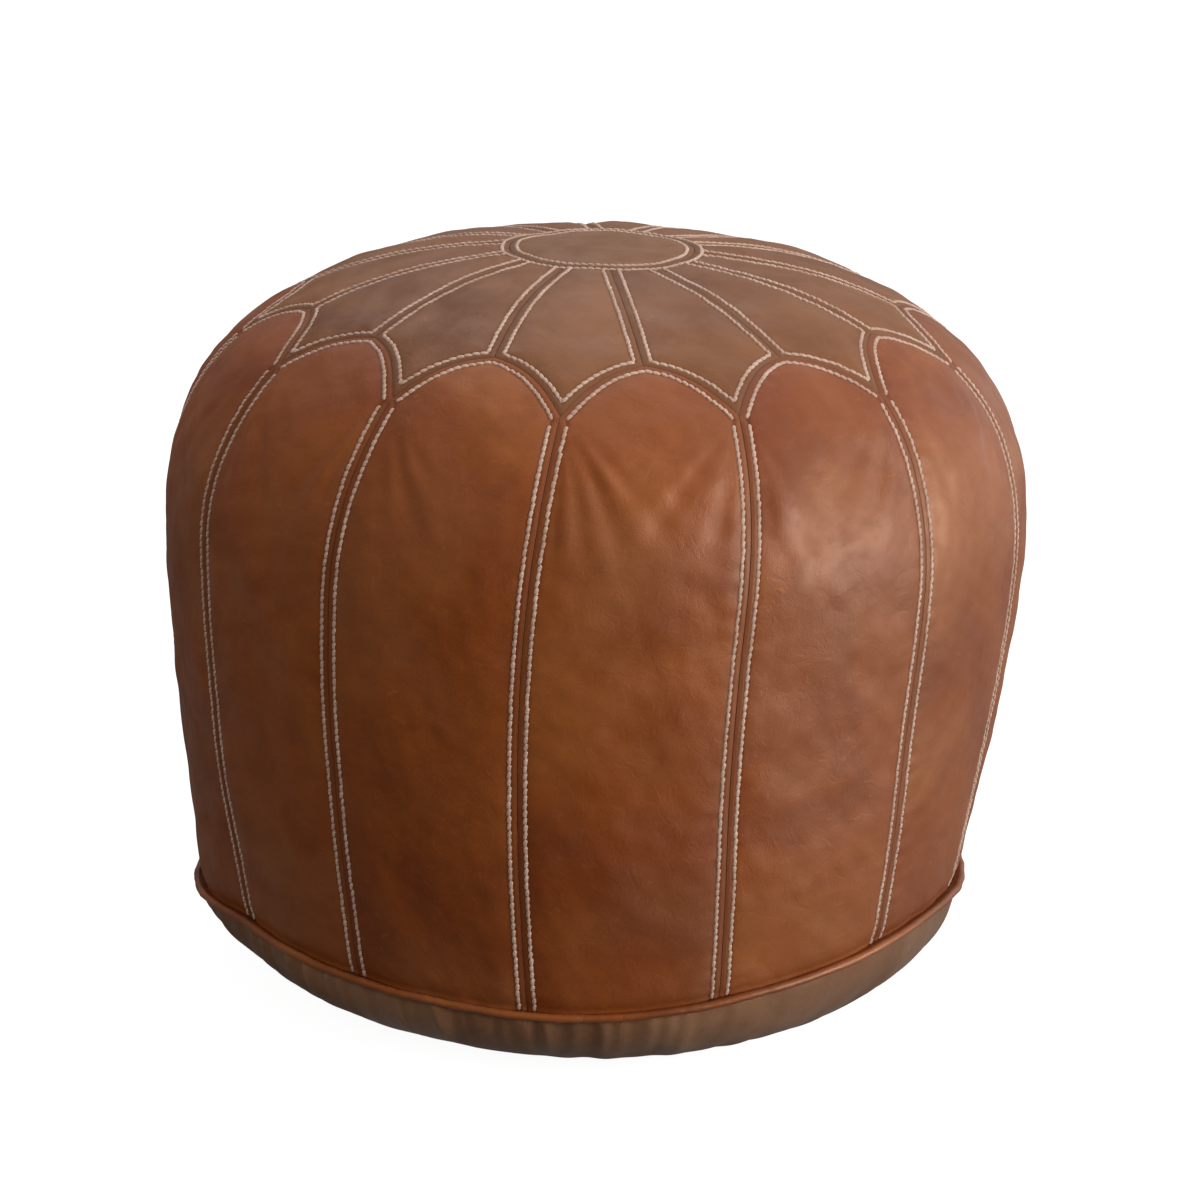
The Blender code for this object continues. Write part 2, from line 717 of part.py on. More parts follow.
def zip_pull_tab(look):
    """An eye round the slider's pin and a flat tab, modelled about the pin's axis."""
    eye = cylinder_along_y("zip_pull_tab", EYE_RADIUS, EYE_HALF_WIDTH, 12, look)
    bm = bmesh.new()
    rounding = TAB_HALF_WIDTH
    end_steps = 6
    outline = [(-EYE_RADIUS / 2, EYE_HALF_WIDTH), (-TAB_NECK_LENGTH / 2, EYE_HALF_WIDTH)]
    outline.append((-TAB_NECK_LENGTH, TAB_HALF_WIDTH))
    for step in range(end_steps + 1):
        angle = pi / 2 + pi * step / end_steps
        outline.append((-TAB_LENGTH + rounding + rounding * cos(angle), rounding * sin(angle)))
    outline += [(-TAB_NECK_LENGTH, -TAB_HALF_WIDTH), (-TAB_NECK_LENGTH / 2, -EYE_HALF_WIDTH)]
    outline.append((-EYE_RADIUS / 2, -EYE_HALF_WIDTH))
    face = bm.faces.new([bm.verts.new((x, y, -TAB_HALF_THICKNESS)) for x, y in outline])
    swept = bmesh.ops.extrude_face_region(bm, geom=[face])["geom"]
    moved = [item for item in swept if isinstance(item, bmesh.types.BMVert)]
    bmesh.ops.translate(bm, verts=moved, vec=(0, 0, 2 * TAB_HALF_THICKNESS))
    plate = mesh_object("pull_plate", bm, look)
    bore = cylinder_along_y("pull_bore", EYE_BORE, 2 * EYE_HALF_WIDTH, 8, look)
    hole = box("pull_hole", (-22 * MM, -1.5 * MM, -2 * MM), (-14 * MM, 1.5 * MM, 2 * MM), look)
    for piece, operation in ((plate, "UNION"), (bore, "DIFFERENCE"), (hole, "DIFFERENCE")):
        piece.parent = eye
        boolean(eye, piece, operation)
    return eye


def zip_fastener(look_tape, look_coil, look_metal):
    for side, place in ((-1, "front"), (1, "back")):
        zip_tape(f"zip_tape_{place}", side, look_tape)
        zip_coil(f"zip_coil_{place}", side, look_coil)
    zip_stops(look_metal)
    slider = zip_slider(look_metal)
    hinge = bpy.data.objects.new("pull_hinge", None)
    bpy.context.scene.collection.objects.link(hinge)
    hinge.parent = slider
    hinge.location = (0, 0, PIN_Z)
    zip_pull_tab(look_metal).parent = hinge


def main():
    clear_scene()
    tan = material("tan_leather_side", (0.225, 0.075, 0.024), 0.50)
    tan_petal = material("tan_leather_petal", (0.230, 0.088, 0.034), 0.48)
    tan_crown = material("tan_leather_medallion", (0.200, 0.080, 0.032), 0.52)
    tan_piping = material("tan_leather_piping", (0.270, 0.085, 0.026), 0.50)
    base_leather = material("base_leather", (0.150, 0.080, 0.045), 0.75)
    thread = material("topstitch_thread", (0.600, 0.420, 0.330), 0.80)
    cord = material("cotton_cord", (0.620, 0.560, 0.460), 0.90)
    canvas = material("liner_canvas", (0.560, 0.500, 0.400), 0.90)
    wadding = material("cotton_wadding", (0.720, 0.690, 0.620), 0.95)
    tape = material("zip_tape", (0.110, 0.055, 0.030), 0.85)
    nylon = material("zip_coil", (0.090, 0.045, 0.025), 0.45)
    brass = material("antique_brass", (0.420, 0.290, 0.120), 0.35, 1.0)

    leather_pieces(tan_petal, tan, tan_crown)
    topstitching(thread)
    piping(tan_piping, cord)
    base_half("base_half_front", -1, base_leather)
    base_half("base_half_back", 1, base_leather)
    filling(canvas, wadding)
    zip_fastener(tape, nylon, brass)


main()
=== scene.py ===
"""Looks of the Moroccan leather pouf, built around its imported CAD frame.

Metres, +Z up. Angles round the pouf run from the front (-Y) towards the right (+X).
A "distance" is measured over the leather, from the crown down the side and in under the base.
"""

from math import cos, pi, radians, sin, tau

import bmesh
import bpy
import numpy as np
from mathutils import Matrix, Vector


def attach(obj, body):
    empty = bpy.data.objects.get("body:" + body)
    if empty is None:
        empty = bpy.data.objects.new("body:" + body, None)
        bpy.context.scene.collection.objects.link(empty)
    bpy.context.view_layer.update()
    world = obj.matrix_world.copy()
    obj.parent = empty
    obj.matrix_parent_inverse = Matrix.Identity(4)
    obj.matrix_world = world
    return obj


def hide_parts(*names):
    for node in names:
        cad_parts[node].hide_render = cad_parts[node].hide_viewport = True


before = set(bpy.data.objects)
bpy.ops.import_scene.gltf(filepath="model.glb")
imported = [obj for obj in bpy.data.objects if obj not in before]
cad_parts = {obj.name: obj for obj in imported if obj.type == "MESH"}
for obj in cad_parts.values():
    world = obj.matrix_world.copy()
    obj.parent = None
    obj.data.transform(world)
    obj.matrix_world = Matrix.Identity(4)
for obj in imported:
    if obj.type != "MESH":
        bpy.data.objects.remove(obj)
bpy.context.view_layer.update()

MM = 0.001

# Outer shape and pattern, as in the CAD part
RADIUS = 0.240
HEIGHT = 0.414
WIDEST_Z = 0.267
CROWN_REACH = 0.185
SHOULDER_REACH = 0.082
FLANK_REACH = 0.094
HEM_RADIUS = 0.221
HEM_Z = 0.060
HEM_RISE = 0.023
REST_RADIUS = 0.144
BASE_TUCK = 0.040
BASE_FLAT_REACH = 0.022
# The hem's (height, radius) every 30 degrees from the front
SETTLED_HEM = (
    (0.053, 0.228),
    (0.067, 0.229),
    (0.073, 0.222),
    (0.061, 0.212),
    (0.058, 0.212),
    (0.060, 0.217),
    (0.060, 0.221),
    (0.056, 0.224),
    (0.046, 0.226),
    (0.040, 0.224),
    (0.054, 0.220),
    (0.054, 0.222),
)
# The settling fades out over the first height above the hem and over the second one above the floor,
# and sets in between the two radii
SETTLED_ABOVE = 0.110
SETTLED_BELOW = 0.055
SETTLED_INNER = 0.148
SETTLED_OUTER = 0.168
PANELS = 14
HALF_PANEL = pi / PANELS
# The seams: their turn as a whole, their lean, its change from left to right, their bow at the front,
# the crown's own turn, and how far the panels spread at the front
SEAM_TURN = radians(-5.3)
SEAM_LEAN = radians(-2.3)
SEAM_TWIST = radians(-2.6)
SEAM_BOW = radians(-2.2)
CROWN_TWIST = radians(-4.2)
FRONT_SPREAD = 0.043
MEDALLION_EDGE = 0.051
ARCH_TOP = 0.168
ARCH_FOOT = 0.205
ARCH_SHARPNESS = 0.30
ARCH_POWER = 2.8
STITCH_INSET = 4.1 * MM
PIPING_RADIUS = 2.1 * MM
PIPING_OFFSET = 1.5 * MM
ZIP_SLOT_HALF = 8 * MM
ZIP_SLOT_END = 0.152
CHANNEL_HALF = 20 * MM
CHANNEL_RISE = 7 * MM
COIL_HALF_LENGTH = 140 * MM
TAPE_HALF_LENGTH = 148 * MM

# Leather relief
LEATHER = 1.6 * MM
SEAM_LEVEL = -1.25 * MM
SEAM_ROLL = 0.22 * MM
STRIP_RISE = 0.20 * MM
GROOVE_DEPTH = 0.35 * MM
PUFF_HEIGHT = 1.35 * MM
PUFF_REACH = 7 * MM
PUCKER_HEIGHT = 0.16 * MM
PUCKER_REACH = 7 * MM
HEM_PULL = 2.2 * MM
PULLED_FOLD_HEIGHT = 1.4 * MM

# Topstitching
STITCH_PITCH = 3.9 * MM
STITCH_OVERLAP = 0.55
STITCH_HALF_WIDTH = 1.02 * MM
STITCH_HALF_HEIGHT = 0.72 * MM


# Numbers


def smooth(x, low, high):
    t = np.clip((x - low) / (high - low), 0, 1)
    return t * t * (3 - 2 * t)


def bell(x, centre, width):
    return np.exp(-(((x - centre) / width) ** 2))


def waves(points, wavelength, seed, count=12):
    """A smooth random field with about one unit of spread: a sum of plane waves near one wavelength."""
    rng = np.random.default_rng(seed)
    points = np.asarray(points, float)
    total = np.zeros(points.shape[:-1])
    for _ in range(count):
        direction = rng.normal(size=points.shape[-1])
        direction /= np.linalg.norm(direction)
        number = tau / (wavelength * rng.uniform(0.7, 1.5))
        total += np.cos(points @ direction * number + rng.uniform(0, tau))
    return total * (2 / count) ** 0.5


def bezier(knots, count):
    t = np.linspace(0, 1, count)[:, None]
    a, b, c, d = (np.array(knot, float) for knot in knots)
    return (1 - t) ** 3 * a + 3 * (1 - t) ** 2 * t * b + 3 * (1 - t) * t * t * c + t**3 * d


# The profile, crown to the centre of the base


SPAN_POINTS = 400
FLAT_POINTS = 60


def profile_points():
    """The crown and shoulder, the flank, the tucked-in base, and the flat that rests on the floor."""
    spans = (
        ((0, HEIGHT), (CROWN_REACH, HEIGHT), (RADIUS, WIDEST_Z + SHOULDER_REACH), (RADIUS, WIDEST_Z)),
        (
            (RADIUS, WIDEST_Z),
            (RADIUS, WIDEST_Z - FLANK_REACH),
            (HEM_RADIUS, HEM_Z + HEM_RISE),
            (HEM_RADIUS, HEM_Z),
        ),
        (
            (HEM_RADIUS, HEM_Z),
            (HEM_RADIUS, HEM_Z - BASE_TUCK),
            (REST_RADIUS + BASE_FLAT_REACH, 0),
            (REST_RADIUS, 0),
        ),
    )
    parts = [bezier(span, SPAN_POINTS) for span in spans]
    flat = np.stack([np.linspace(REST_RADIUS, 0, FLAT_POINTS), np.zeros(FLAT_POINTS)], 1)
    return np.vstack([parts[0], parts[1][1:], parts[2][1:], flat[1:]])


PROFILE = profile_points()
STEPS = np.linalg.norm(np.diff(PROFILE, axis=0), axis=1)
DISTANCES = np.concatenate([[0], np.cumsum(STEPS)])
TANGENTS = np.gradient(PROFILE, DISTANCES, axis=0)
TANGENTS /= np.linalg.norm(TANGENTS, axis=1)[:, None]
HEM_DISTANCE = DISTANCES[2 * (SPAN_POINTS - 1)]
REST_DISTANCE = DISTANCES[3 * (SPAN_POINTS - 1)]


def radius_at(distance):
    return np.interp(distance, DISTANCES, PROFILE[:, 0])


def sewn_angle(angle, distance):
    """Where an even angle falls on the sewn cover, whose seams spread at the front, lean and bow."""
    front = ((1 + np.cos(angle)) / 2) ** 4
    up = np.clip(1 - distance / ARCH_TOP, 0, 1)
    down = np.clip((distance - ARCH_FOOT) / (HEM_DISTANCE - ARCH_FOOT), 0, 1)
    lean = down * (SEAM_LEAN + SEAM_TWIST * np.sin(angle)) + SEAM_BOW * front * np.sin(pi * down)
    return angle + FRONT_SPREAD * np.sin(angle) + CROWN_TWIST * up + lean


def settled_hem(angle):
    """(height, radius) of the hem at each angle: a smooth closed curve through SETTLED_HEM."""
    hem = np.array(SETTLED_HEM)
    place = angle / tau * len(hem)
    first = np.floor(place).astype(int)
    share = (place - first)[..., None]
    a, b, c, d = (hem[(first + step) % len(hem)] for step in (-1, 0, 1, 2))
    curve = b + share * (c - a + share * (2 * a - 5 * b + 4 * c - d + share * (3 * b - a - 3 * c + d))) / 2
    return curve[..., 0], curve[..., 1]


def ring_place(angle):
    """Where an angle lies on a ring of about the hem's size, for waves that join up all round."""
    return np.stack([np.sin(angle), np.cos(angle)], -1) * 0.2


def hem_wander(angle):
    """The small ripples of the hem, up and down, and in and out."""
    ring = ring_place(angle)
    lift = 0.5 * MM * waves(ring, 0.11, 21) + 0.15 * MM * waves(ring, 0.03, 22)
    out = 0.35 * MM * waves(ring, 0.09, 23) + 0.12 * MM * waves(ring, 0.025, 24)
    return lift, out


def settled_point(angle, radius, z):
    """A point of the even round shape, moved to where the stuffed cover has settled."""
    height, reach = settled_hem(angle)
    lift, out = hem_wander(angle)
    inner = np.clip((radius - SETTLED_INNER) / (SETTLED_OUTER - SETTLED_INNER), 0, 1)
    share = np.clip(z / SETTLED_BELOW, 0, 1) * inner * bell(z, HEM_Z, SETTLED_ABOVE)
    radius = radius + (reach - HEM_RADIUS + out) * share
    z = z + (height - HEM_Z + lift) * share
    return np.stack([radius * np.sin(angle), -radius * np.cos(angle), z], -1)


def settle(angle, distance):
    """How far the stuffing pushes the whole cover out of true."""
    ring = np.stack([np.sin(angle) * RADIUS, np.cos(angle) * RADIUS, distance], -1)
    amount = 0.5 * MM * waves(ring, 0.16, 5) + 0.2 * MM * waves(ring, 0.07, 6)
    return amount * smooth(distance, 0.0, 0.08) * (1 - smooth(distance, HEM_DISTANCE, REST_DISTANCE))


def surface(angle, distance, offset):
    """(points, outward normals) on the cover."""
    angle, distance, offset = np.broadcast_arrays(angle, distance, offset)
    offset = offset + settle(angle, distance)
    radius = np.interp(distance, DISTANCES, PROFILE[:, 0])
    z = np.interp(distance, DISTANCES, PROFILE[:, 1])
    out = -np.interp(distance, DISTANCES, TANGENTS[:, 1])
    up = np.interp(distance, DISTANCES, TANGENTS[:, 0])
    normals = np.stack([out * np.sin(angle), -out * np.cos(angle), up], -1)
    return settled_point(angle, radius, z) + normals * offset[..., None], normals


# The leather pattern. A flat point is (across from the piece's centre line, distance).


def half_width(distance):
    return HALF_PANEL * radius_at(distance)


def arch(share):
    return ARCH_SHARPNESS * share + (1 - ARCH_SHARPNESS) * share**ARCH_POWER


def arch_distance(share):
    return ARCH_TOP + (ARCH_FOOT - ARCH_TOP) * arch(share)


def side_boundary():
    """The right half of a side panel's seams: its arch, then its side."""
    share = np.linspace(0, 1, 40)
    over = arch_distance(share)
    down = np.linspace(ARCH_FOOT, HEM_DISTANCE + 0.02, 60)[1:]
    return [
        np.stack([share * half_width(over), over], 1),
        np.stack([half_width(down), down], 1),
    ]


def petal_boundary():
    """The right half of a petal's seams: its lower edge, its side and the medallion."""
    share = np.linspace(1, 0, 40)
    under = arch_distance(share)
    up = np.linspace(ARCH_TOP, MEDALLION_EDGE, 40)
    inner = np.linspace(half_width(MEDALLION_EDGE), 0, 6)
    return [
        np.stack([(1 - share) * half_width(under), under], 1),
        np.stack([half_width(up), up], 1),
        np.stack([inner, np.full(6, MEDALLION_EDGE)], 1),
    ]


def distance_to(line, points):
    """How far each flat point is from a line, and how far along it the nearest place is."""
    start, step = line[:-1], np.diff(line, axis=0)
    lengths = np.linalg.norm(step, axis=1)
    run = np.concatenate([[0], np.cumsum(lengths)[:-1]])
    best = np.full(len(points), np.inf)
    along = np.zeros(len(points))
    for first, move, length, before in zip(start, step, lengths, run):
        share = np.clip(((points - first) @ move) / length**2, 0, 1)
        gap = np.linalg.norm(points - first - share[:, None] * move, axis=1)
        nearer = gap < best
        best = np.where(nearer, gap, best)
        along = np.where(nearer, before + share * length, along)
    return best, along


BOUNDARIES = {"side": side_boundary(), "petal": petal_boundary()}


def leather_relief(kind, flat, seed):
    """(offset, distance to the nearest seam) of flat points on one piece."""
    across, down = flat[:, 0], flat[:, 1]
    if kind == "medallion":
        seam = MEDALLION_EDGE - down
        angle = across / np.maximum(down, 1e-6)
        spread = np.stack([down * np.sin(angle), down * np.cos(angle)], 1)
        pucker = waves((MEDALLION_EDGE * angle)[:, None], 14 * MM, seed + 1, 8)
    else:
        folded = np.stack([np.abs(across), down], 1)
        found = [distance_to(line, folded) for line in BOUNDARIES[kind]]
        gaps = np.stack([gap for gap, _ in found])
        seam = gaps.min(0)
        spread = flat
        pucker = 0
        hand = np.sign(across) * 0.5
        for index, (gap, along) in enumerate(found):
            place = np.stack([along, hand], 1)
            share = np.exp(-np.maximum(gap - STITCH_INSET, 0) / PUCKER_REACH)
            pucker = pucker + share * waves(place, 12 * MM, seed + 10 + index, 9)
    offset = np.full(len(flat), SEAM_LEVEL)
    offset -= SEAM_ROLL * np.exp(-((seam / (0.9 * MM)) ** 1.3))
    offset += STRIP_RISE * smooth(seam, 0.8 * MM, 1.8 * MM) * (1 - smooth(seam, 3 * MM, 4 * MM))
    offset -= GROOVE_DEPTH * bell(seam, STITCH_INSET, 0.95 * MM)
    beyond = np.maximum(seam - STITCH_INSET, 0)
    offset += PUFF_HEIGHT * (1 - np.exp(-beyond / PUFF_REACH))
    inside = smooth(seam, STITCH_INSET, 16 * MM)
    if kind != "medallion":
        fade = smooth(seam, 2 * MM, 6 * MM)
        offset += PUCKER_HEIGHT * pucker * fade
    offset += inside * 0.28 * MM * waves(spread, 42 * MM, seed + 2)
    offset += inside * 0.10 * MM * waves(spread, 16 * MM, seed + 3)
    if kind == "side":
        offset += side_wrinkles(across, down, seed) * inside
        offset -= HEM_PULL * np.exp(-np.maximum(HEM_DISTANCE - 3 * MM - down, 0) / (5 * MM))
    return offset, seam


# The seed and the hand of the one arch foot whose folds are deep, at the front
PULLED_FOLDS = (1000, -1)


def side_wrinkles(across, down, seed):
    """Soft folds that run down from the arch's feet, where the seams pull."""
    rng = np.random.default_rng(seed + 40)
    offset = np.zeros(len(across))
    for hand in (-1, 1):
        foot = np.array([hand * half_width(ARCH_FOOT), ARCH_FOOT])
        east, south = (across - foot[0]) * -hand, down - foot[1]
        reach = np.hypot(east, south)
        turn = np.arctan2(south, np.maximum(east, 1e-9))
        strength = rng.uniform(0.15, 0.5) * MM
        if (seed, hand) == PULLED_FOLDS:
            strength = PULLED_FOLD_HEIGHT
        folds = waves(turn[:, None], 0.30, seed + 50 + hand, 6)
        offset += strength * folds * smooth(turn, 0.55, 1.15) * bell(reach, 48 * MM, 34 * MM)
    for _ in range(3):
        place = rng.uniform((-0.6, 0.235), (0.6, 0.46))
        lean = rng.uniform(-0.5, 0.5)
        length = rng.uniform(14, 34) * MM
        x = across - place[0] * half_width(place[1]) - lean * (down - place[1])
        offset -= 0.22 * MM * bell(x, 0, 2.6 * MM) * bell(down, place[1], length)
    return offset


# Meshes


def make_object(name, vertices, faces, material, attributes=None):
    mesh = bpy.data.meshes.new(name)
    mesh.from_pydata(np.asarray(vertices).tolist(), [], faces if isinstance(faces, list) else faces.tolist())
    write_attributes(mesh, attributes or {})
    mesh.shade_smooth()
    mesh.materials.append(material)
    mesh.update()
    obj = bpy.data.objects.new(name, mesh)
    bpy.context.scene.collection.objects.link(obj)
    return obj


def write_attributes(mesh, attributes):
    for key, values in attributes.items():
        values = np.asarray(values, np.float32)
        kind, field = ("FLOAT_VECTOR", "vector") if values.ndim == 2 else ("FLOAT", "value")
        layer = mesh.attributes.new(key, kind, "POINT")
        layer.data.foreach_set(field, values.ravel())


def turn_outwards(obj):
    bm = bmesh.new()
    bm.from_mesh(obj.data)
    bmesh.ops.recalc_face_normals(bm, faces=bm.faces)
    bm.to_mesh(obj.data)
    bm.free()


def grid_faces(rows, columns, closed=False):
    """Quads of a grid whose vertices run row by row."""
    last = columns if closed else columns - 1
    row, column = np.meshgrid(np.arange(rows - 1), np.arange(last), indexing="ij")
    after = (column + 1) % columns
    here, below = row * columns, (row + 1) * columns
    corners = (here + column, below + column, below + after, here + after)
    return np.stack([corner.ravel() for corner in corners], 1)


def fan_faces(first, columns, hub):
    """Triangles from a closed row of vertices, which starts at first, to one vertex in its middle."""
    return [[first + (i + 1) % columns, first + i, hub] for i in range(columns)]


def give_thickness(obj, thickness):
    solid = obj.modifiers.new("thickness", "SOLIDIFY")
    solid.thickness = thickness
    solid.offset = -1


def hide_coordinates(flat, seed):
    """Where a piece was cut out of its hide, so that no two pieces carry the same marks."""
    rng = np.random.default_rng(seed + 70)
    turn = rng.normal(0, 0.35)
    place = rng.uniform(-3, 3, 3)
    x = flat[:, 0] * cos(turn) - flat[:, 1] * sin(turn)
    y = flat[:, 0] * sin(turn) + flat[:, 1] * cos(turn)
    return np.stack([x + place[0], y + place[1], np.full(len(x), place[2])], 1)


# Distances from a seam, close together where the leather rolls in and where the stitches pull
EDGE_STEPS = MM * np.array(
    [0, 0.35, 0.7, 1.1, 1.6, 2.2, 2.7, 3.2, 3.6, 4.0, 4.4, 4.8, 5.3, 5.9, 6.7, 7.7, 8.9, 10.4, 12.2]
)
# The gap that a leather's edge keeps from its seam, and the size of a grid's plain squares
EDGE_GAP = 0.1 * MM
PLAIN_STEP = 2.4 * MM


def edge_spacing(total, step):
    """Edge steps, then even steps, up to a total."""
    count = max(int(round((total - EDGE_STEPS[-1]) / step)), 1)
    return np.concatenate([EDGE_STEPS, np.linspace(EDGE_STEPS[-1], total, count + 1)[1:]])


def column_shares():
    full = 52 * MM
    right = 1 - edge_spacing(full, PLAIN_STEP) / full
    return np.concatenate([-right[:-1], right[::-1]])


def side_grid():
    share = column_shares()
    top = arch_distance(np.abs(share))
    full = HEM_DISTANCE - ARCH_TOP
    hem_band = full - 14 * MM
    down = edge_spacing(hem_band, PLAIN_STEP)
    down = np.concatenate([down, np.linspace(hem_band, full, 13)[1:]])
    rows = (down / full)[:, None]
    distance = top + rows * (HEM_DISTANCE - top)
    return share * (half_width(distance) - EDGE_GAP), distance


def petal_grid():
    share = column_shares()
    bottom = arch_distance(1 - np.abs(share))
    full = ARCH_TOP - MEDALLION_EDGE
    half = edge_spacing(full / 2, PLAIN_STEP)
    down = np.concatenate([half, full - half[::-1][1:]])
    rows = (down / full)[:, None]
    distance = MEDALLION_EDGE + EDGE_GAP + rows * (bottom - 2 * EDGE_GAP - MEDALLION_EDGE)
    return share * (half_width(distance) - EDGE_GAP), distance


def leather_piece(name, kind, centre, across, distance, seed, material):
    flat = np.stack([across.ravel(), distance.ravel()], 1)
    offset, seam = leather_relief(kind, flat, seed)
    angle = sewn_angle(centre + flat[:, 0] / radius_at(flat[:, 1]), flat[:, 1])
    points, _ = surface(angle, flat[:, 1], offset)
    rows, columns = across.shape
    attributes = {"hide": hide_coordinates(flat, seed), "seam": seam / MM}
    obj = make_object(name, points, grid_faces(rows, columns), material, attributes)
    give_thickness(obj, LEATHER)
    return obj


def medallion_piece(material, seed):
    columns = 168
    inward = edge_spacing(MEDALLION_EDGE - 1 * MM, 2.2 * MM)
    distance = (MEDALLION_EDGE - EDGE_GAP - inward)[:, None] + np.zeros(columns)
    angle = np.broadcast_to(np.arange(columns) * tau / columns - pi, distance.shape)
    flat = np.stack([(angle * distance).ravel(), distance.ravel()], 1)
    offset, seam = leather_relief("medallion", flat, seed)
    points, _ = surface(angle.ravel(), flat[:, 1], offset)
    faces = grid_faces(*distance.shape, closed=True).tolist()
    hub = len(points)
    last = hub - columns
    faces += fan_faces(last, columns, hub)
    faces = [face[::-1] for face in faces]
    middle = points[last:].mean(0) + [0, 0, 0.02 * MM]
    points = np.vstack([points, middle])
    spots = np.stack([flat[:, 1] * np.sin(angle.ravel()), flat[:, 1] * np.cos(angle.ravel())], 1)
    spots = np.vstack([spots, [0, 0]])
    attributes = {"hide": hide_coordinates(spots, seed), "seam": np.append(seam, MEDALLION_EDGE) / MM}
    return make_object("medallion_leather", points, faces, material, attributes)


# Stitches


def stitching_runs(kind):
    """Flat runs of stitches for the right half of a piece, each from corner to corner."""
    lines = BOUNDARIES[kind]
    runs = []
    for line in lines:
        old, new = np.linspace(0, 1, len(line)), np.linspace(0, 1, 400)
        fine = np.stack([np.interp(new, old, line[:, i]) for i in (0, 1)], 1)
        tangent = np.gradient(fine, axis=0)
        tangent /= np.linalg.norm(tangent, axis=1)[:, None]
        normal = np.stack([-tangent[:, 1], tangent[:, 0]], 1)
        for hand in (-1, 1):
            moved = fine + hand * normal * STITCH_INSET
            folded = np.stack([np.abs(moved[:, 0]), moved[:, 1]], 1)
            gaps = np.min([distance_to(other, folded)[0] for other in lines], 0)
            keep = (gaps > STITCH_INSET * 0.995) & (moved[:, 0] >= -0.1 * MM) & inside_piece(kind, moved)
            if keep.sum() > 10:
                runs.append(moved[keep])
    return runs


def inside_piece(kind, flat):
    across, down = np.abs(flat[:, 0]), flat[:, 1]
    share = np.clip(across / half_width(down), 0, 1)
    if kind == "side":
        return (down > arch_distance(share)) & (down < HEM_DISTANCE - 1 * MM) & (across < half_width(down))
    return (down > MEDALLION_EDGE) & (down < arch_distance(1 - share)) & (across < half_width(down))


def evenly(run, pitch):
    """Points along a run, a whole number of stitches apart."""
    lengths = np.concatenate([[0], np.cumsum(np.linalg.norm(np.diff(run, axis=0), axis=1))])
    count = max(int(round(lengths[-1] / pitch)), 1)
    spots = np.linspace(0, lengths[-1], count + 1)
    return np.stack([np.interp(spots, lengths, run[:, i]) for i in range(run.shape[1])], 1)


STITCH_ROWS = np.array([-1, -0.88, -0.6, -0.2, 0.2, 0.6, 0.88, 1])
STITCH_GIRTH = np.array([0.38, 0.70, 0.95, 1.0, 1.0, 0.95, 0.70, 0.38])
STITCH_SIDES = 12


def stitch_parts(ends, normals, seed):
    """Vertices and faces of one run of stitches. Each one lies between two neighbouring ends."""
    rng = np.random.default_rng(seed)
    middle = (ends[1:] + ends[:-1]) / 2
    along = ends[1:] - ends[:-1]
    length = np.linalg.norm(along, axis=1)
    along /= length[:, None]
    up = normals[1:] + normals[:-1]
    up -= (up * along).sum(1)[:, None] * along
    up /= np.linalg.norm(up, axis=1)[:, None]
    count = len(middle)
    across = np.cross(along, up)
    slant = radians(9) + rng.normal(0, radians(3), count)
    along, across = (
        along * np.cos(slant)[:, None] + across * np.sin(slant)[:, None],
        across * np.cos(slant)[:, None] - along * np.sin(slant)[:, None],
    )
    size = 1 + rng.normal(0, 0.05, (count, 1, 1))
    middle = middle + across * rng.normal(0, 0.10 * MM, (count, 1))
    row = STITCH_ROWS[None, :, None]
    girth = STITCH_GIRTH[None, :, None]
    turn = (np.arange(STITCH_SIDES) * tau / STITCH_SIDES)[None, None, :]
    ply = 1 + 0.11 * np.cos(3 * turn + 4.2 * row)
    half = length[:, None, None] * STITCH_OVERLAP
    x = row * half + 0 * turn
    y = STITCH_HALF_WIDTH * size * girth * ply * np.cos(turn)
    z = STITCH_HALF_HEIGHT * size * girth * ply * np.sin(turn) + (0.48 - 0.50 * row**4) * MM
    vertices = (
        middle[:, None, None]
        + along[:, None, None] * x[..., None]
        + across[:, None, None] * y[..., None]
        + up[:, None, None] * z[..., None]
    )
    rows = len(STITCH_ROWS)
    one = grid_faces(rows, STITCH_SIDES, closed=True)
    start = np.arange(count)[:, None, None] * rows * STITCH_SIDES
    faces = (one[None] + start).reshape(-1, 4).tolist()
    ring = np.arange(STITCH_SIDES)
    for base in range(0, count * rows * STITCH_SIDES, rows * STITCH_SIDES):
        faces.append((base + ring).tolist())
        faces.append((base + (rows - 1) * STITCH_SIDES + ring[::-1]).tolist())
    return vertices.reshape(-1, 3), faces


def stitch_object(name, runs, material):
    """runs holds (ends, normals, seed)."""
    vertices, faces = [], []
    total = 0
    for ends, normals, seed in runs:
        if len(ends) < 2:
            continue
        points, quads = stitch_parts(ends, normals, seed)
        faces += [[index + total for index in face] for face in quads]
        vertices.append(points)
        total += len(points)
    return make_object(name, np.vstack(vertices), faces, material)


def sewn_runs(kind, centre, seed, flat_runs):
    made = []
    for index, run in enumerate(flat_runs):
        for hand in (-1, 1):
            flat = evenly(run * [hand, 1], STITCH_PITCH)
            offset, _ = leather_relief(kind, flat, seed)
            angle = sewn_angle(centre + flat[:, 0] / radius_at(flat[:, 1]), flat[:, 1])
            ends, normals = surface(angle, flat[:, 1], offset)
            made.append((ends, normals, seed * 10 + index * 2 + (hand > 0)))
    return made


def ring_run(distance, seed):
    count = int(round(tau * radius_at(distance) / STITCH_PITCH))
    angle = np.arange(count + 1) * tau / count
    level = SEAM_LEVEL - GROOVE_DEPTH
    ends, normals = surface(angle, distance, level)
    return ends, normals, seed


# Materials


def new_material(name):
    made = bpy.data.materials.new(name)
    made.use_nodes = True
    tree = made.node_tree
    return made, tree, tree.nodes["Principled BSDF"]


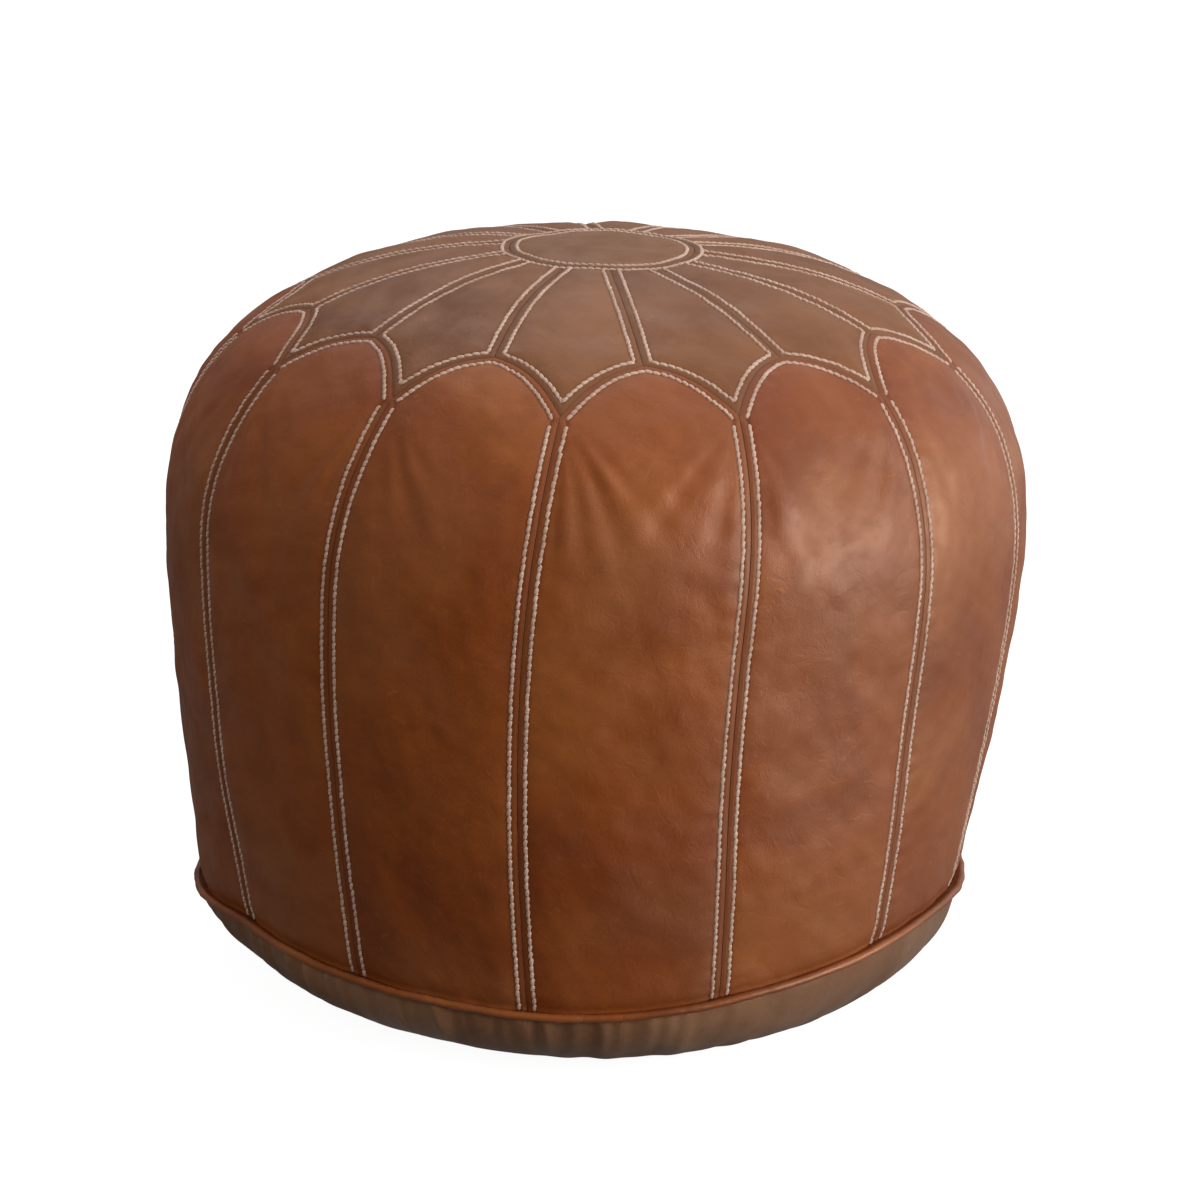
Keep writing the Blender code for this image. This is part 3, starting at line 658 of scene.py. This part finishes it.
class Nodes:
    """Short ways to add nodes to one material."""

    def __init__(self, tree):
        self.tree = tree

    def add(self, kind, inputs=None, **settings):
        node = self.tree.nodes.new(kind)
        for key, value in settings.items():
            setattr(node, key, value)
        for key, value in (inputs or {}).items():
            self.feed(node.inputs[key], value)
        return node

    def feed(self, socket, value):
        if isinstance(value, bpy.types.NodeSocket):
            self.tree.links.new(value, socket)
        else:
            socket.default_value = value

    def attribute(self, name, output):
        return self.add("ShaderNodeAttribute", attribute_name=name).outputs[output]

    def noise(self, vector, scale, detail=3.0, roughness=0.5, distortion=0.0):
        inputs = {"Vector": vector, "Scale": scale, "Detail": detail}
        inputs.update({"Roughness": roughness, "Distortion": distortion})
        return self.add("ShaderNodeTexNoise", inputs).outputs["Fac"]

    def ramp(self, value, low, high, start=0.0, end=1.0):
        inputs = {"Value": value, "From Min": low, "From Max": high, "To Min": start, "To Max": end}
        node = self.add("ShaderNodeMapRange", inputs, interpolation_type="SMOOTHSTEP")
        return node.outputs["Result"]

    def mix(self, factor, first, second, blend="MIX"):
        node = self.add("ShaderNodeMix", data_type="RGBA", blend_type=blend)
        self.feed(node.inputs[0], factor)
        self.feed(node.inputs[6], first)
        self.feed(node.inputs[7], second)
        return node.outputs[2]

    def math(self, operation, first, second=0.0):
        node = self.add("ShaderNodeMath", operation=operation)
        self.feed(node.inputs[0], first)
        self.feed(node.inputs[1], second)
        return node.outputs[0]

    def bump(self, height, distance, strength=1.0, normal=None):
        inputs = {"Height": height, "Distance": distance, "Strength": strength}
        node = self.add("ShaderNodeBump", inputs)
        if normal is not None:
            self.feed(node.inputs["Normal"], normal)
        return node.outputs["Normal"]


def color(r, g, b):
    return (r, g, b, 1.0)


def leather_material(name, deep, middle, light, bloom, roughness, bloom_share=0.5):
    """Waxed pull-up leather: cloudy, darker between the stitch rows, with pores, creases and scuffs, and with
    painted shade along the seam line and in the creases beside the stitches.
    """
    strip_color = [0.6 * a + 0.25 * b for a, b in zip(deep, bloom)]
    made, tree, shader = new_material(name)
    n = Nodes(tree)
    hide = n.attribute("hide", "Vector")
    seam = n.attribute("seam", "Fac")

    cloud = n.noise(hide, 10, 4, 0.55, 0.6)
    shade = n.mix(n.ramp(cloud, 0.30, 0.54), color(*deep), color(*middle))
    shade = n.mix(n.ramp(cloud, 0.48, 0.72), shade, color(*light))
    patch = n.noise(hide, 30, 4, 0.6, 0.5)
    shade = n.mix(n.ramp(patch, 0.42, 0.70, 0.0, 0.22), shade, color(*(0.6 * v for v in deep)))
    grey = n.noise(hide, 8.5, 3, 0.5, 0.3)
    shade = n.mix(n.ramp(grey, 0.50, 0.68, 0.0, bloom_share), shade, color(*bloom))
    fleck = n.noise(hide, 260, 4, 0.7)
    shade = n.mix(n.ramp(fleck, 0.54, 0.74, 0.0, 0.22), shade, color(*(1.3 * v for v in light)))
    shade = n.mix(n.ramp(fleck, 0.28, 0.42, 0.20, 0.0), shade, color(*(0.5 * v for v in deep)))
    scuff = n.noise(hide, 95, 2, 0.5, 1.5)
    shade = n.mix(n.ramp(scuff, 0.715, 0.78, 0.0, 0.30), shade, color(*(1.6 * v for v in light)))

    strip = n.ramp(seam, 4.7, 3.5)
    shade = n.mix(n.math("MULTIPLY", strip, 0.55), shade, color(*strip_color))
    # Painted shade: a thin darker line down the middle of each seam, in the crevice where the two edges roll
    # in.
    shade = n.mix(n.ramp(seam, 0.9, 0.1, 0.0, 0.18), shade, color(*(0.5 * v for v in deep)))
    # Painted shade: darker in the crease that the stitches pull into the leather, just outside each stitch
    # row.
    stitch_crease_shade = n.math("MULTIPLY", n.ramp(seam, 3.1, 4.2), n.ramp(seam, 6.8, 4.4))
    shade = n.mix(n.math("MULTIPLY", stitch_crease_shade, 0.32), shade, color(*(0.5 * v for v in deep)))
    tree.links.new(shade, shader.inputs["Base Color"])

    rough = n.ramp(patch, 0.3, 0.7, roughness - 0.07, roughness + 0.10)
    rough = n.math("ADD", rough, n.math("MULTIPLY", strip, 0.06))
    tree.links.new(rough, shader.inputs["Roughness"])
    shader.inputs["Specular IOR Level"].default_value = 0.46

    pores = n.noise(hide, 1500, 2, 0.6)
    grain_inputs = {"Vector": hide, "Scale": 640.0, "Randomness": 1.0}
    grain = n.add("ShaderNodeTexVoronoi", grain_inputs, feature="DISTANCE_TO_EDGE").outputs["Distance"]
    creased = n.add("ShaderNodeTexNoise", {"Vector": hide, "Scale": 60.0, "Detail": 3.0, "Distortion": 1.2})
    normal = n.bump(n.noise(hide, 75, 4, 0.6, 0.4), 0.55 * MM, 0.45)
    normal = n.bump(n.ramp(creased.outputs["Fac"], 0.47, 0.53), 0.10 * MM, 0.5, normal)
    normal = n.bump(n.ramp(grain, 0.0, 0.12), 0.05 * MM, 0.55, normal)
    normal = n.bump(pores, 0.05 * MM, 0.6, normal)
    tree.links.new(normal, shader.inputs["Normal"])
    return made


def thread_material(name):
    made, tree, shader = new_material(name)
    n = Nodes(tree)
    place = n.add("ShaderNodeTexCoord").outputs["Object"]
    soil = n.noise(place, 45, 3, 0.6)
    shade = n.mix(n.ramp(soil, 0.35, 0.65), color(0.52, 0.315, 0.225), color(0.67, 0.45, 0.34))
    fibre = n.noise(place, 1800, 3, 0.7)
    shade = n.mix(n.ramp(fibre, 0.35, 0.6, 0.35, 0.0), shade, color(0.30, 0.18, 0.12))
    tree.links.new(shade, shader.inputs["Base Color"])
    shader.inputs["Roughness"].default_value = 0.78
    shader.inputs["Sheen Weight"].default_value = 0.25
    shader.inputs["Sheen Roughness"].default_value = 0.5
    tree.links.new(n.bump(fibre, 0.12 * MM, 0.6), shader.inputs["Normal"])
    return made


def cloth_material(name, dark, light, scale, roughness):
    """Plain weave or fibre, seen close."""
    made, tree, shader = new_material(name)
    n = Nodes(tree)
    place = n.add("ShaderNodeTexCoord").outputs["Object"]
    over = n.add("ShaderNodeTexWave", {"Vector": place, "Scale": scale, "Distortion": 0.6, "Detail": 2.0})
    under_inputs = {"Vector": place, "Scale": scale, "Distortion": 0.6}
    under = n.add("ShaderNodeTexWave", under_inputs, bands_direction="Y")
    weave = n.math("MULTIPLY", over.outputs["Fac"], under.outputs["Fac"])
    stain = n.noise(place, 30, 3, 0.6)
    shade = n.mix(n.ramp(weave, 0.1, 0.6), color(*dark), color(*light))
    shade = n.mix(n.ramp(stain, 0.4, 0.7, 0.0, 0.35), shade, color(*dark))
    tree.links.new(shade, shader.inputs["Base Color"])
    shader.inputs["Roughness"].default_value = roughness
    tree.links.new(n.bump(weave, 0.25 * MM, 0.7), shader.inputs["Normal"])
    return made


def metal_material(name):
    made, tree, shader = new_material(name)
    n = Nodes(tree)
    place = n.add("ShaderNodeTexCoord").outputs["Object"]
    tarnish = n.noise(place, 260, 5, 0.65, 0.6)
    shade = n.mix(n.ramp(tarnish, 0.38, 0.62), color(0.20, 0.12, 0.05), color(0.52, 0.36, 0.15))
    tree.links.new(shade, shader.inputs["Base Color"])
    shader.inputs["Metallic"].default_value = 1.0
    tree.links.new(n.ramp(tarnish, 0.3, 0.7, 0.48, 0.26), shader.inputs["Roughness"])
    tree.links.new(n.bump(n.noise(place, 2400, 3, 0.6), 0.03 * MM, 0.5), shader.inputs["Normal"])
    return made


def nylon_material(name):
    made, tree, shader = new_material(name)
    n = Nodes(tree)
    place = n.add("ShaderNodeTexCoord").outputs["Object"]
    mottle = n.noise(place, 700, 3, 0.6)
    shade = n.mix(n.ramp(mottle, 0.35, 0.65), color(0.060, 0.030, 0.016), color(0.105, 0.055, 0.030))
    tree.links.new(shade, shader.inputs["Base Color"])
    shader.inputs["Roughness"].default_value = 0.38
    return made


SIDE = leather_material(
    "waxed_side_leather",
    deep=(0.205, 0.041, 0.005),
    middle=(0.266, 0.062, 0.0085),
    light=(0.320, 0.088, 0.016),
    bloom=(0.255, 0.092, 0.034),
    roughness=0.55,
    bloom_share=0.28,
)
PETAL = leather_material(
    "waxed_petal_leather",
    deep=(0.175, 0.052, 0.012),
    middle=(0.228, 0.075, 0.017),
    light=(0.275, 0.096, 0.025),
    bloom=(0.250, 0.100, 0.034),
    roughness=0.52,
    bloom_share=0.30,
)
CROWN = leather_material(
    "waxed_medallion_leather",
    deep=(0.175, 0.058, 0.016),
    middle=(0.225, 0.078, 0.020),
    light=(0.250, 0.095, 0.030),
    bloom=(0.220, 0.100, 0.042),
    roughness=0.52,
    bloom_share=0.30,
)
PIPING = leather_material(
    "thin_piping_leather",
    deep=(0.165, 0.038, 0.006),
    middle=(0.260, 0.066, 0.012),
    light=(0.330, 0.095, 0.020),
    bloom=(0.260, 0.098, 0.040),
    roughness=0.48,
    bloom_share=0.2,
)
BASE = leather_material(
    "dull_base_leather",
    deep=(0.165, 0.066, 0.025),
    middle=(0.245, 0.106, 0.046),
    light=(0.310, 0.148, 0.072),
    bloom=(0.290, 0.165, 0.095),
    roughness=0.52,
    bloom_share=0.5,
)
THREAD = thread_material("off_white_thread")
CORD = cloth_material("raw_cotton_cord", (0.42, 0.36, 0.27), (0.68, 0.62, 0.52), 260, 0.9)
CANVAS = cloth_material("cotton_canvas", (0.40, 0.35, 0.26), (0.64, 0.58, 0.47), 300, 0.9)
WADDING = cloth_material("cotton_wadding", (0.60, 0.57, 0.50), (0.80, 0.78, 0.72), 60, 0.95)
TAPE = cloth_material("woven_zip_tape", (0.055, 0.028, 0.015), (0.135, 0.070, 0.040), 420, 0.85)
COIL = nylon_material("nylon_coil")
BRASS = metal_material("antique_brass")


# The cover


def build_cover():
    side_across, side_distance = side_grid()
    petal_across, petal_distance = petal_grid()
    side_runs = stitching_runs("side")
    petal_runs = [run for run in stitching_runs("petal") if np.ptp(run[:, 1]) > 2 * MM]
    petal_stitches = []
    for number in range(PANELS):
        label = f"{number + 1:02d}"
        centre = SEAM_TURN + HALF_PANEL + 2 * HALF_PANEL * number
        seed = 1000 + 97 * number
        panel = leather_piece(f"side_leather_{label}", "side", centre, side_across, side_distance, seed, SIDE)
        register(panel, "side_leather", f"side_panel_{label}")
        sewing = stitch_object(f"side_stitches_{label}", sewn_runs("side", centre, seed, side_runs), THREAD)
        register(sewing, "topstitch_thread", f"side_panel_thread_{label}")

        centre = SEAM_TURN + 2 * HALF_PANEL * number
        seed = 5000 + 89 * number
        name = f"petal_leather_{label}"
        petal = leather_piece(name, "petal", centre, petal_across, petal_distance, seed, PETAL)
        register(petal, "petal_leather", f"petal_{label}")
        petal_stitches += sewn_runs("petal", centre, seed, petal_runs)
    petal_stitches.append(ring_run(MEDALLION_EDGE + STITCH_INSET, 77))
    register(stitch_object("petal_stitches", petal_stitches, THREAD), "topstitch_thread", "petal_thread")
    medallion = medallion_piece(CROWN, 9000)
    give_thickness(medallion, LEATHER)
    register(medallion, "medallion_leather", "medallion")
    rings = [ring_run(MEDALLION_EDGE - STITCH_INSET, 78)]
    register(stitch_object("medallion_stitches", rings, THREAD), "topstitch_thread", "medallion_thread")


def register(obj, slot, *nodes):
    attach(obj, "cover")
    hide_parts(*nodes)


# Piping and base. Neither has a row of stitches, so they count as farther from a seam than the stitches.

FAR_FROM_SEAM = 40.0


def build_piping():
    columns = 900
    angle = np.arange(columns) * tau / columns
    out = settle(angle, HEM_DISTANCE + 0 * angle)
    ring = ring_place(angle)
    crinkle = 1 + 0.030 * waves(ring, 0.007, 25, 14) + 0.03 * waves(ring, 0.02, 26)
    radius = PIPING_RADIUS * 1.03 * crinkle
    turn = np.linspace(radians(-152), radians(152), 19)[:, None]
    tongue_reach = np.full((2, columns), -6.0 * MM)
    tongue_sides = np.array([[0.8], [-0.8]]) * MM + np.zeros((1, columns))
    section_out = np.concatenate([np.cos(turn) * radius, tongue_reach])
    section_up = np.concatenate([np.sin(turn) * radius, tongue_sides])
    away = HEM_RADIUS + PIPING_OFFSET + out + section_out
    points = settled_point(angle + 0 * away, away, HEM_Z + section_up)
    rows = len(points)
    faces = grid_faces(rows + 1, columns, closed=True) % (rows * columns)
    along = np.broadcast_to(HEM_RADIUS * angle, (rows, columns))
    round_cord = np.broadcast_to(np.linspace(0, 16 * MM, rows)[:, None], (rows, columns))
    hide = np.stack([along, round_cord, np.zeros((rows, columns))], -1)
    attributes = {"hide": hide.reshape(-1, 3), "seam": np.full(rows * columns, FAR_FROM_SEAM)}
    obj = make_object("piping_leather", points.reshape(-1, 3), faces, PIPING, attributes)
    register(obj, "piping_leather", "piping_cover")


def base_relief(angle, distance):
    """The base is gathered along the hem, most of all at the front left."""
    rim = distance - HEM_DISTANCE
    ring = ring_place(angle)
    front_left = ((1 + np.cos(angle - radians(-38))) / 2) ** 10
    share = 0.05 + 1.5 * front_left + 0.2 * smooth(waves(ring, 0.16, 32), 0.2, 1.4)
    gathers = 0.9 * waves(ring, 0.009, 31, 16) + 0.7 * waves(ring, 0.022, 35)
    offset = MM * gathers * share * np.exp(-((rim / (28 * MM)) ** 2))
    spot = np.stack([distance * np.sin(angle), distance * np.cos(angle)], -1)
    offset += 0.2 * MM * waves(spot, 0.06, 33)
    offset *= smooth(rim, 0, 4 * MM)
    tuck = 1 - smooth(distance, REST_DISTANCE - 30 * MM, REST_DISTANCE)
    return offset * (1 - 0.92 * smooth(distance, REST_DISTANCE - 45 * MM, REST_DISTANCE)) - 0.9 * MM * tuck


def base_skin(name):
    """The whole base, from the hem to its middle, before it is cut in two."""
    columns = 700
    slope = np.linspace(HEM_DISTANCE + 1.5 * MM, REST_DISTANCE, 34)
    flat = np.linspace(REST_DISTANCE, DISTANCES[-1] - 3 * MM, 40)[1:]
    distance = np.concatenate([slope, flat])[:, None]
    angle = (np.arange(columns) * tau / columns)[None, :] + 0 * distance
    distance = distance + 0 * angle
    points, _ = surface(angle, distance, base_relief(angle, distance))
    floor_level = 0.02 * MM
    points[..., 2] = np.maximum(points[..., 2], floor_level)
    rows = len(distance)
    hub = rows * columns
    faces = grid_faces(rows, columns, closed=True).tolist()
    faces += fan_faces(hub - columns, columns, hub)
    return make_object(name, np.vstack([points.reshape(-1, 3), [0, 0, floor_level]]), faces, BASE)


def cut_across(bm, place, normal, clear=False):
    """Cuts the mesh on a plane. clear removes what lies behind it."""
    everything = bm.verts[:] + bm.edges[:] + bm.faces[:]
    bmesh.ops.bisect_plane(bm, geom=everything, plane_co=place, plane_no=normal, clear_inner=clear)


def clear_slot(bm, half_length, half_width):
    """Deletes the faces of the underside that lie over the zip."""
    inside = []
    for face in bm.faces:
        middle = face.calc_center_median()
        if middle.z < HEM_Z and abs(middle.x) < half_length and abs(middle.y) < half_width:
            inside.append(face)
    bmesh.ops.delete(bm, geom=inside, context="FACES")


def shape_base_half(bm, side):
    """Keeps one half of the base, opens the slot and draws its edge up into the zip's channel."""
    cut_across(bm, (0, side * 0.15 * MM, 0), (0, side, 0), clear=True)
    for y in (ZIP_SLOT_HALF, 11 * MM, 14 * MM, 17 * MM, CHANNEL_HALF):
        cut_across(bm, (0, side * y, 0), (0, side, 0))
    for x in (-ZIP_SLOT_END, ZIP_SLOT_END):
        cut_across(bm, (x, 0, 0), (1, 0, 0))
    clear_slot(bm, ZIP_SLOT_END, ZIP_SLOT_HALF)
    for vert in bm.verts:
        share = min(max((CHANNEL_HALF - abs(vert.co.y)) / (CHANNEL_HALF - ZIP_SLOT_HALF), 0), 1)
        rise = CHANNEL_RISE * share * share * (3 - 2 * share)
        vert.co.z = max(vert.co.z, rise)
    bmesh.ops.recalc_face_normals(bm, faces=bm.faces)
    lowest = min(bm.faces, key=lambda face: face.calc_center_median().z)
    if lowest.normal.z > 0:
        bmesh.ops.reverse_faces(bm, faces=bm.faces)


def build_base():
    for name, side in (("front", -1), ("back", 1)):
        obj = base_skin(f"base_leather_{name}")
        mesh = obj.data
        bm = bmesh.new()
        bm.from_mesh(mesh)
        shape_base_half(bm, side)
        bm.to_mesh(mesh)
        bm.free()
        spots = np.array([vert.co[:] for vert in mesh.vertices])
        flat = np.stack([spots[:, 0], spots[:, 1] + 0.3 * spots[:, 2]], 1)
        hide = hide_coordinates(flat, 400 + side)
        hide[:, 2] += spots[:, 2]
        reach = np.hypot(spots[:, 0], spots[:, 1])
        # Near the hem the base counts as a little beyond a stitch row, so its outer rim takes a faint trace
        # of the painted shade that darkens the leather beside the stitches.
        seam = np.where(reach > 0.19, (HEM_RADIUS - reach) / MM + 6, FAR_FROM_SEAM)
        write_attributes(mesh, {"hide": hide, "seam": np.maximum(seam, 6.5)})
        give_thickness(obj, LEATHER)
        register(obj, "base_leather", f"base_half_{name}")


# What fills the cover


def bag(name, depth, lumps, channel, material):
    """A closed skin inside the cover, folded up along the zip. channel is (foot, top, half width)."""
    columns = 280
    distance = np.linspace(5 * MM, DISTANCES[-1] - 5 * MM, 190)[:, None]
    angle = (np.arange(columns) * tau / columns)[None, :] + 0 * distance
    even, _ = surface(angle, distance, -depth)
    relief = sum(height * waves(even, wavelength, seed) for height, wavelength, seed in lumps)
    points, _ = surface(angle, distance, relief - depth)
    foot, top, half = channel
    fold = foot + (top - foot) * (1 - smooth(np.abs(points[..., 1]), half, half + 12 * MM))
    points[..., 2] = np.maximum(points[..., 2], fold)
    faces = grid_faces(*points.shape[:2], closed=True).tolist()
    count = points[..., 0].size
    faces += [face[::-1] for face in fan_faces(0, columns, count)]
    faces += fan_faces(count - columns, columns, count + 1)
    hubs = [points[0].mean(0), points[-1].mean(0)]
    obj = make_object(name, np.vstack([points.reshape(-1, 3), *hubs]), faces, material)
    turn_outwards(obj)
    return obj


def build_filling():
    wadding = bag(
        "cotton_stuffing",
        9.0 * MM,
        ((1.0 * MM, 0.055, 61), (0.45 * MM, 0.020, 62)),
        (9.5 * MM, 16 * MM, 12 * MM),
        WADDING,
    )
    register(wadding, "cotton_wadding", "stuffing")

    liner = bag(
        "canvas_liner",
        5.2 * MM,
        ((0.25 * MM, 0.045, 63), (0.08 * MM, 0.014, 64)),
        (5.3 * MM, 12.6 * MM, ZIP_SLOT_HALF),
        CANVAS,
    )
    bm = bmesh.new()
    bm.from_mesh(liner.data)
    cut_slot(bm, COIL_HALF_LENGTH, 5 * MM)
    bm.to_mesh(liner.data)
    bm.free()
    give_thickness(liner, 1.0 * MM)
    register(liner, "liner_canvas", "inner_liner")


def cut_slot(bm, half_length, half_width):
    """Opens a long slot in the underside, over the zip."""
    for x in (-half_length, half_length):
        cut_across(bm, (x, 0, 0), (1, 0, 0))
    for y in (-half_width, half_width):
        cut_across(bm, (0, y, 0), (0, 1, 0))
    clear_slot(bm, half_length, half_width)


def capped_faces(rows, sides):
    """The faces of a bar with the same number of sides all along, with a face at either end."""
    first_end = list(range(sides))
    last_end = list(range(rows * sides - 1, (rows - 1) * sides - 1, -1))
    return grid_faces(rows, sides, closed=True).tolist() + [first_end, last_end]


def tube(name, centres, first, second, radius, material, closed=False):
    """A tube round a line of centres. first and second are the two directions across it at each centre."""
    sides = radius.shape[1]
    turn = np.arange(sides) * tau / sides
    across, beyond = (radius * np.cos(turn))[..., None], (radius * np.sin(turn))[..., None]
    points = centres[:, None] + first[:, None] * across + second[:, None] * beyond
    count = len(centres)
    if closed:
        faces = grid_faces(count + 1, sides, closed=True) % (count * sides)
    else:
        faces = capped_faces(count, sides)
    obj = make_object(name, points.reshape(-1, 3), faces, material)
    turn_outwards(obj)
    return obj


def build_piping_cord():
    count = 1400
    angle = np.arange(count) * tau / count
    away = HEM_RADIUS + PIPING_OFFSET + settle(angle, HEM_DISTANCE + 0 * angle)
    centres = settled_point(angle, away, HEM_Z + 0 * angle)
    outward = np.stack([np.sin(angle), -np.cos(angle), 0 * angle], 1)
    upward = np.broadcast_to([0.0, 0.0, 1.0], outward.shape)
    turn = np.arange(14) * tau / 14
    radius = 1.0 * MM * (1 + 0.10 * np.cos(3 * turn[None] + 160 * angle[:, None]))
    cord = tube("twisted_piping_cord", centres, outward, upward, radius, CORD, closed=True)
    register(cord, "piping_cord", "piping_cord")


# The zip


def build_coil(place, side):
    """A nylon coil: one wire wound round and round."""
    per_turn, pitch, wire = 12, 1.15 * MM, 0.33 * MM
    middle, level, half_across, half_high = 2.1, 8.2, 1.05, 0.95
    half = COIL_HALF_LENGTH - wire
    count = int(2 * half / pitch * per_turn)
    turn = np.arange(count) / per_turn * tau + (pi if side > 0 else 0)
    along = np.linspace(-half, half, count)
    outward = np.stack([0 * turn, side * np.cos(turn), np.sin(turn)], 1)
    aside = side * (middle + half_across * np.cos(turn)) * MM
    centres = np.stack([along, aside, (level + half_high * np.sin(turn)) * MM], 1)
    lengthways = np.broadcast_to([1.0, 0.0, 0.0], outward.shape)
    radius = np.full((count, 6), wire)
    coil = tube(f"nylon_coil_{place}", centres, outward, lengthways, radius, COIL)
    register(coil, "zip_nylon", f"zip_coil_{place}")


def build_tape(place, side):
    """A woven strip: flat beside the coil, then bent down along the leather."""
    across = np.array([1.8, 2.4, 3.5, 5, 6.5, 8.2, 9.5, 11, 12.5, 14, 15.4, 16]) * MM
    slope = CHANNEL_RISE / (CHANNEL_HALF - ZIP_SLOT_HALF)
    level = 9.8 * MM - slope * np.maximum(across - 8.2 * MM, 0)
    across = np.concatenate([across, across[::-1]])
    level = np.concatenate([level, level[::-1] + 0.6 * MM])
    along = np.linspace(-TAPE_HALF_LENGTH, TAPE_HALF_LENGTH, 420)[:, None]
    along, across = np.broadcast_arrays(along, across)
    ripple = 0.05 * MM * waves(np.stack([along, across], -1), 0.012, 71 + side)
    points = np.stack([along, side * across, level + ripple], -1)
    faces = capped_faces(*along.shape)
    tape = make_object(f"woven_zip_tape_{place}", points.reshape(-1, 3), faces, TAPE)
    turn_outwards(tape)
    tape.data.set_sharp_from_angle(angle=radians(50))
    register(tape, "zip_tape", f"zip_tape_{place}")


def dress_cad_nodes():
    """The CAD nodes whose shape is right keep it, and get a finished material."""
    stops = ("zip_top_stop_front", "zip_top_stop_back", "zip_bottom_stop")
    for name in (*stops, "zip_slider", "zip_pull_tab"):
        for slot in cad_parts[name].material_slots:
            slot.material = BRASS


# Stage


def build_stage():
    mesh = bpy.data.meshes.new("floor")
    reach = 14
    corners = [(-reach, -reach, 0), (reach, -reach, 0), (reach, reach, 0), (-reach, reach, 0)]
    mesh.from_pydata(corners, [], [(0, 1, 2, 3)])
    floor = bpy.data.objects.new("floor", mesh)
    floor.location.z = -0.4 * MM
    bpy.context.scene.collection.objects.link(floor)
    made, _, shader = new_material("pale_floor")
    shader.inputs["Base Color"].default_value = color(0.25, 0.25, 0.25)
    shader.inputs["Roughness"].default_value = 0.9
    shader.inputs["Specular IOR Level"].default_value = 0.0
    shader.inputs["Emission Color"].default_value = color(1, 1, 1)
    shader.inputs["Emission Strength"].default_value = 0.94
    mesh.materials.append(made)
    floor.visible_diffuse = False
    floor.visible_glossy = False
    build_world()

    add_light("key", (1.9, -1.40, 0.90), 1.3, 38, glossy=False)
    add_light("window", (2.3, -1.00, 0.75), 1.9, 104, diffuse=False, tint=(1, 0.93, 0.76))
    add_light("side_window", (1.9, 1.5, 0.6), 1.6, 7, diffuse=False)
    add_light("top", (-0.2, 1.15, 2.1), 1.8, 8.5)
    add_light("sky", (0.0, 0.5, 2.3), 1.8, 8, glossy=False)
    add_light("fill", (-1.1, -2.2, 1.5), 1.6, 18, glossy=False)
    bpy.context.scene.view_settings.view_transform = "Standard"


def build_world():
    """A studio that is bright above and to the right, and dim below and to the left."""
    world = bpy.data.worlds.new("studio")
    bpy.context.scene.world = world
    world.use_nodes = True
    tree = world.node_tree
    n = Nodes(tree)
    towards = n.add("ShaderNodeTexCoord").outputs["Generated"]
    parts = n.add("ShaderNodeSeparateXYZ", {"Vector": towards})
    glow = n.ramp(parts.outputs["Z"], -0.35, 0.9, 0.13, 0.38)
    glow = n.math("MULTIPLY", glow, n.ramp(parts.outputs["X"], -0.6, 0.9, 0.62, 1.5))
    glow = n.math("MULTIPLY", glow, n.ramp(parts.outputs["Y"], -0.9, 0.5, 0.40, 1.7))
    seen = n.add("ShaderNodeLightPath").outputs["Is Camera Ray"]
    strength = n.add("ShaderNodeMix", data_type="FLOAT")
    n.feed(strength.inputs[0], seen)
    n.feed(strength.inputs[2], glow)
    n.feed(strength.inputs[3], 1.0)
    background = tree.nodes["Background"]
    background.inputs["Color"].default_value = color(1, 1, 1)
    tree.links.new(strength.outputs[0], background.inputs["Strength"])


def add_light(name, place, size, power, diffuse=True, glossy=True, tint=(1, 1, 1)):
    data = bpy.data.lights.new(name, "AREA")
    data.shape = "DISK"
    data.size = size
    data.energy = power
    data.color = tint
    light = bpy.data.objects.new(name, data)
    light.location = place
    light.visible_diffuse = diffuse
    light.visible_glossy = glossy
    light.rotation_euler = (Vector((0, 0, 0.22)) - Vector(place)).to_track_quat("-Z", "Y").to_euler()
    bpy.context.scene.collection.objects.link(light)


def build_camera():
    """The photo's view, solved from the medallion ring, the hem and the seams."""
    reach = 1.90
    elevation = radians(17.6)
    middle = Vector((0, 0, 0.207))
    data = bpy.data.cameras.new("camera")
    data.lens = 100.4
    data.sensor_width = 36
    data.shift_x = 0.0054
    data.shift_y = 0.0018
    camera = bpy.data.objects.new("camera", data)
    place = middle + Vector((0, -reach * cos(elevation), reach * sin(elevation)))
    aim = (middle - place).to_track_quat("-Z", "Y").to_matrix().to_4x4()
    roll = Matrix.Rotation(0.024, 4, "Z")
    camera.matrix_world = Matrix.Translation(place) @ aim @ roll
    bpy.context.scene.collection.objects.link(camera)
    bpy.context.scene.camera = camera


build_cover()
build_piping()
build_base()
build_filling()
build_piping_cord()
for zip_place, zip_side in (("front", -1), ("back", 1)):
    build_coil(zip_place, zip_side)
    build_tape(zip_place, zip_side)
dress_cad_nodes()
build_stage()
build_camera()
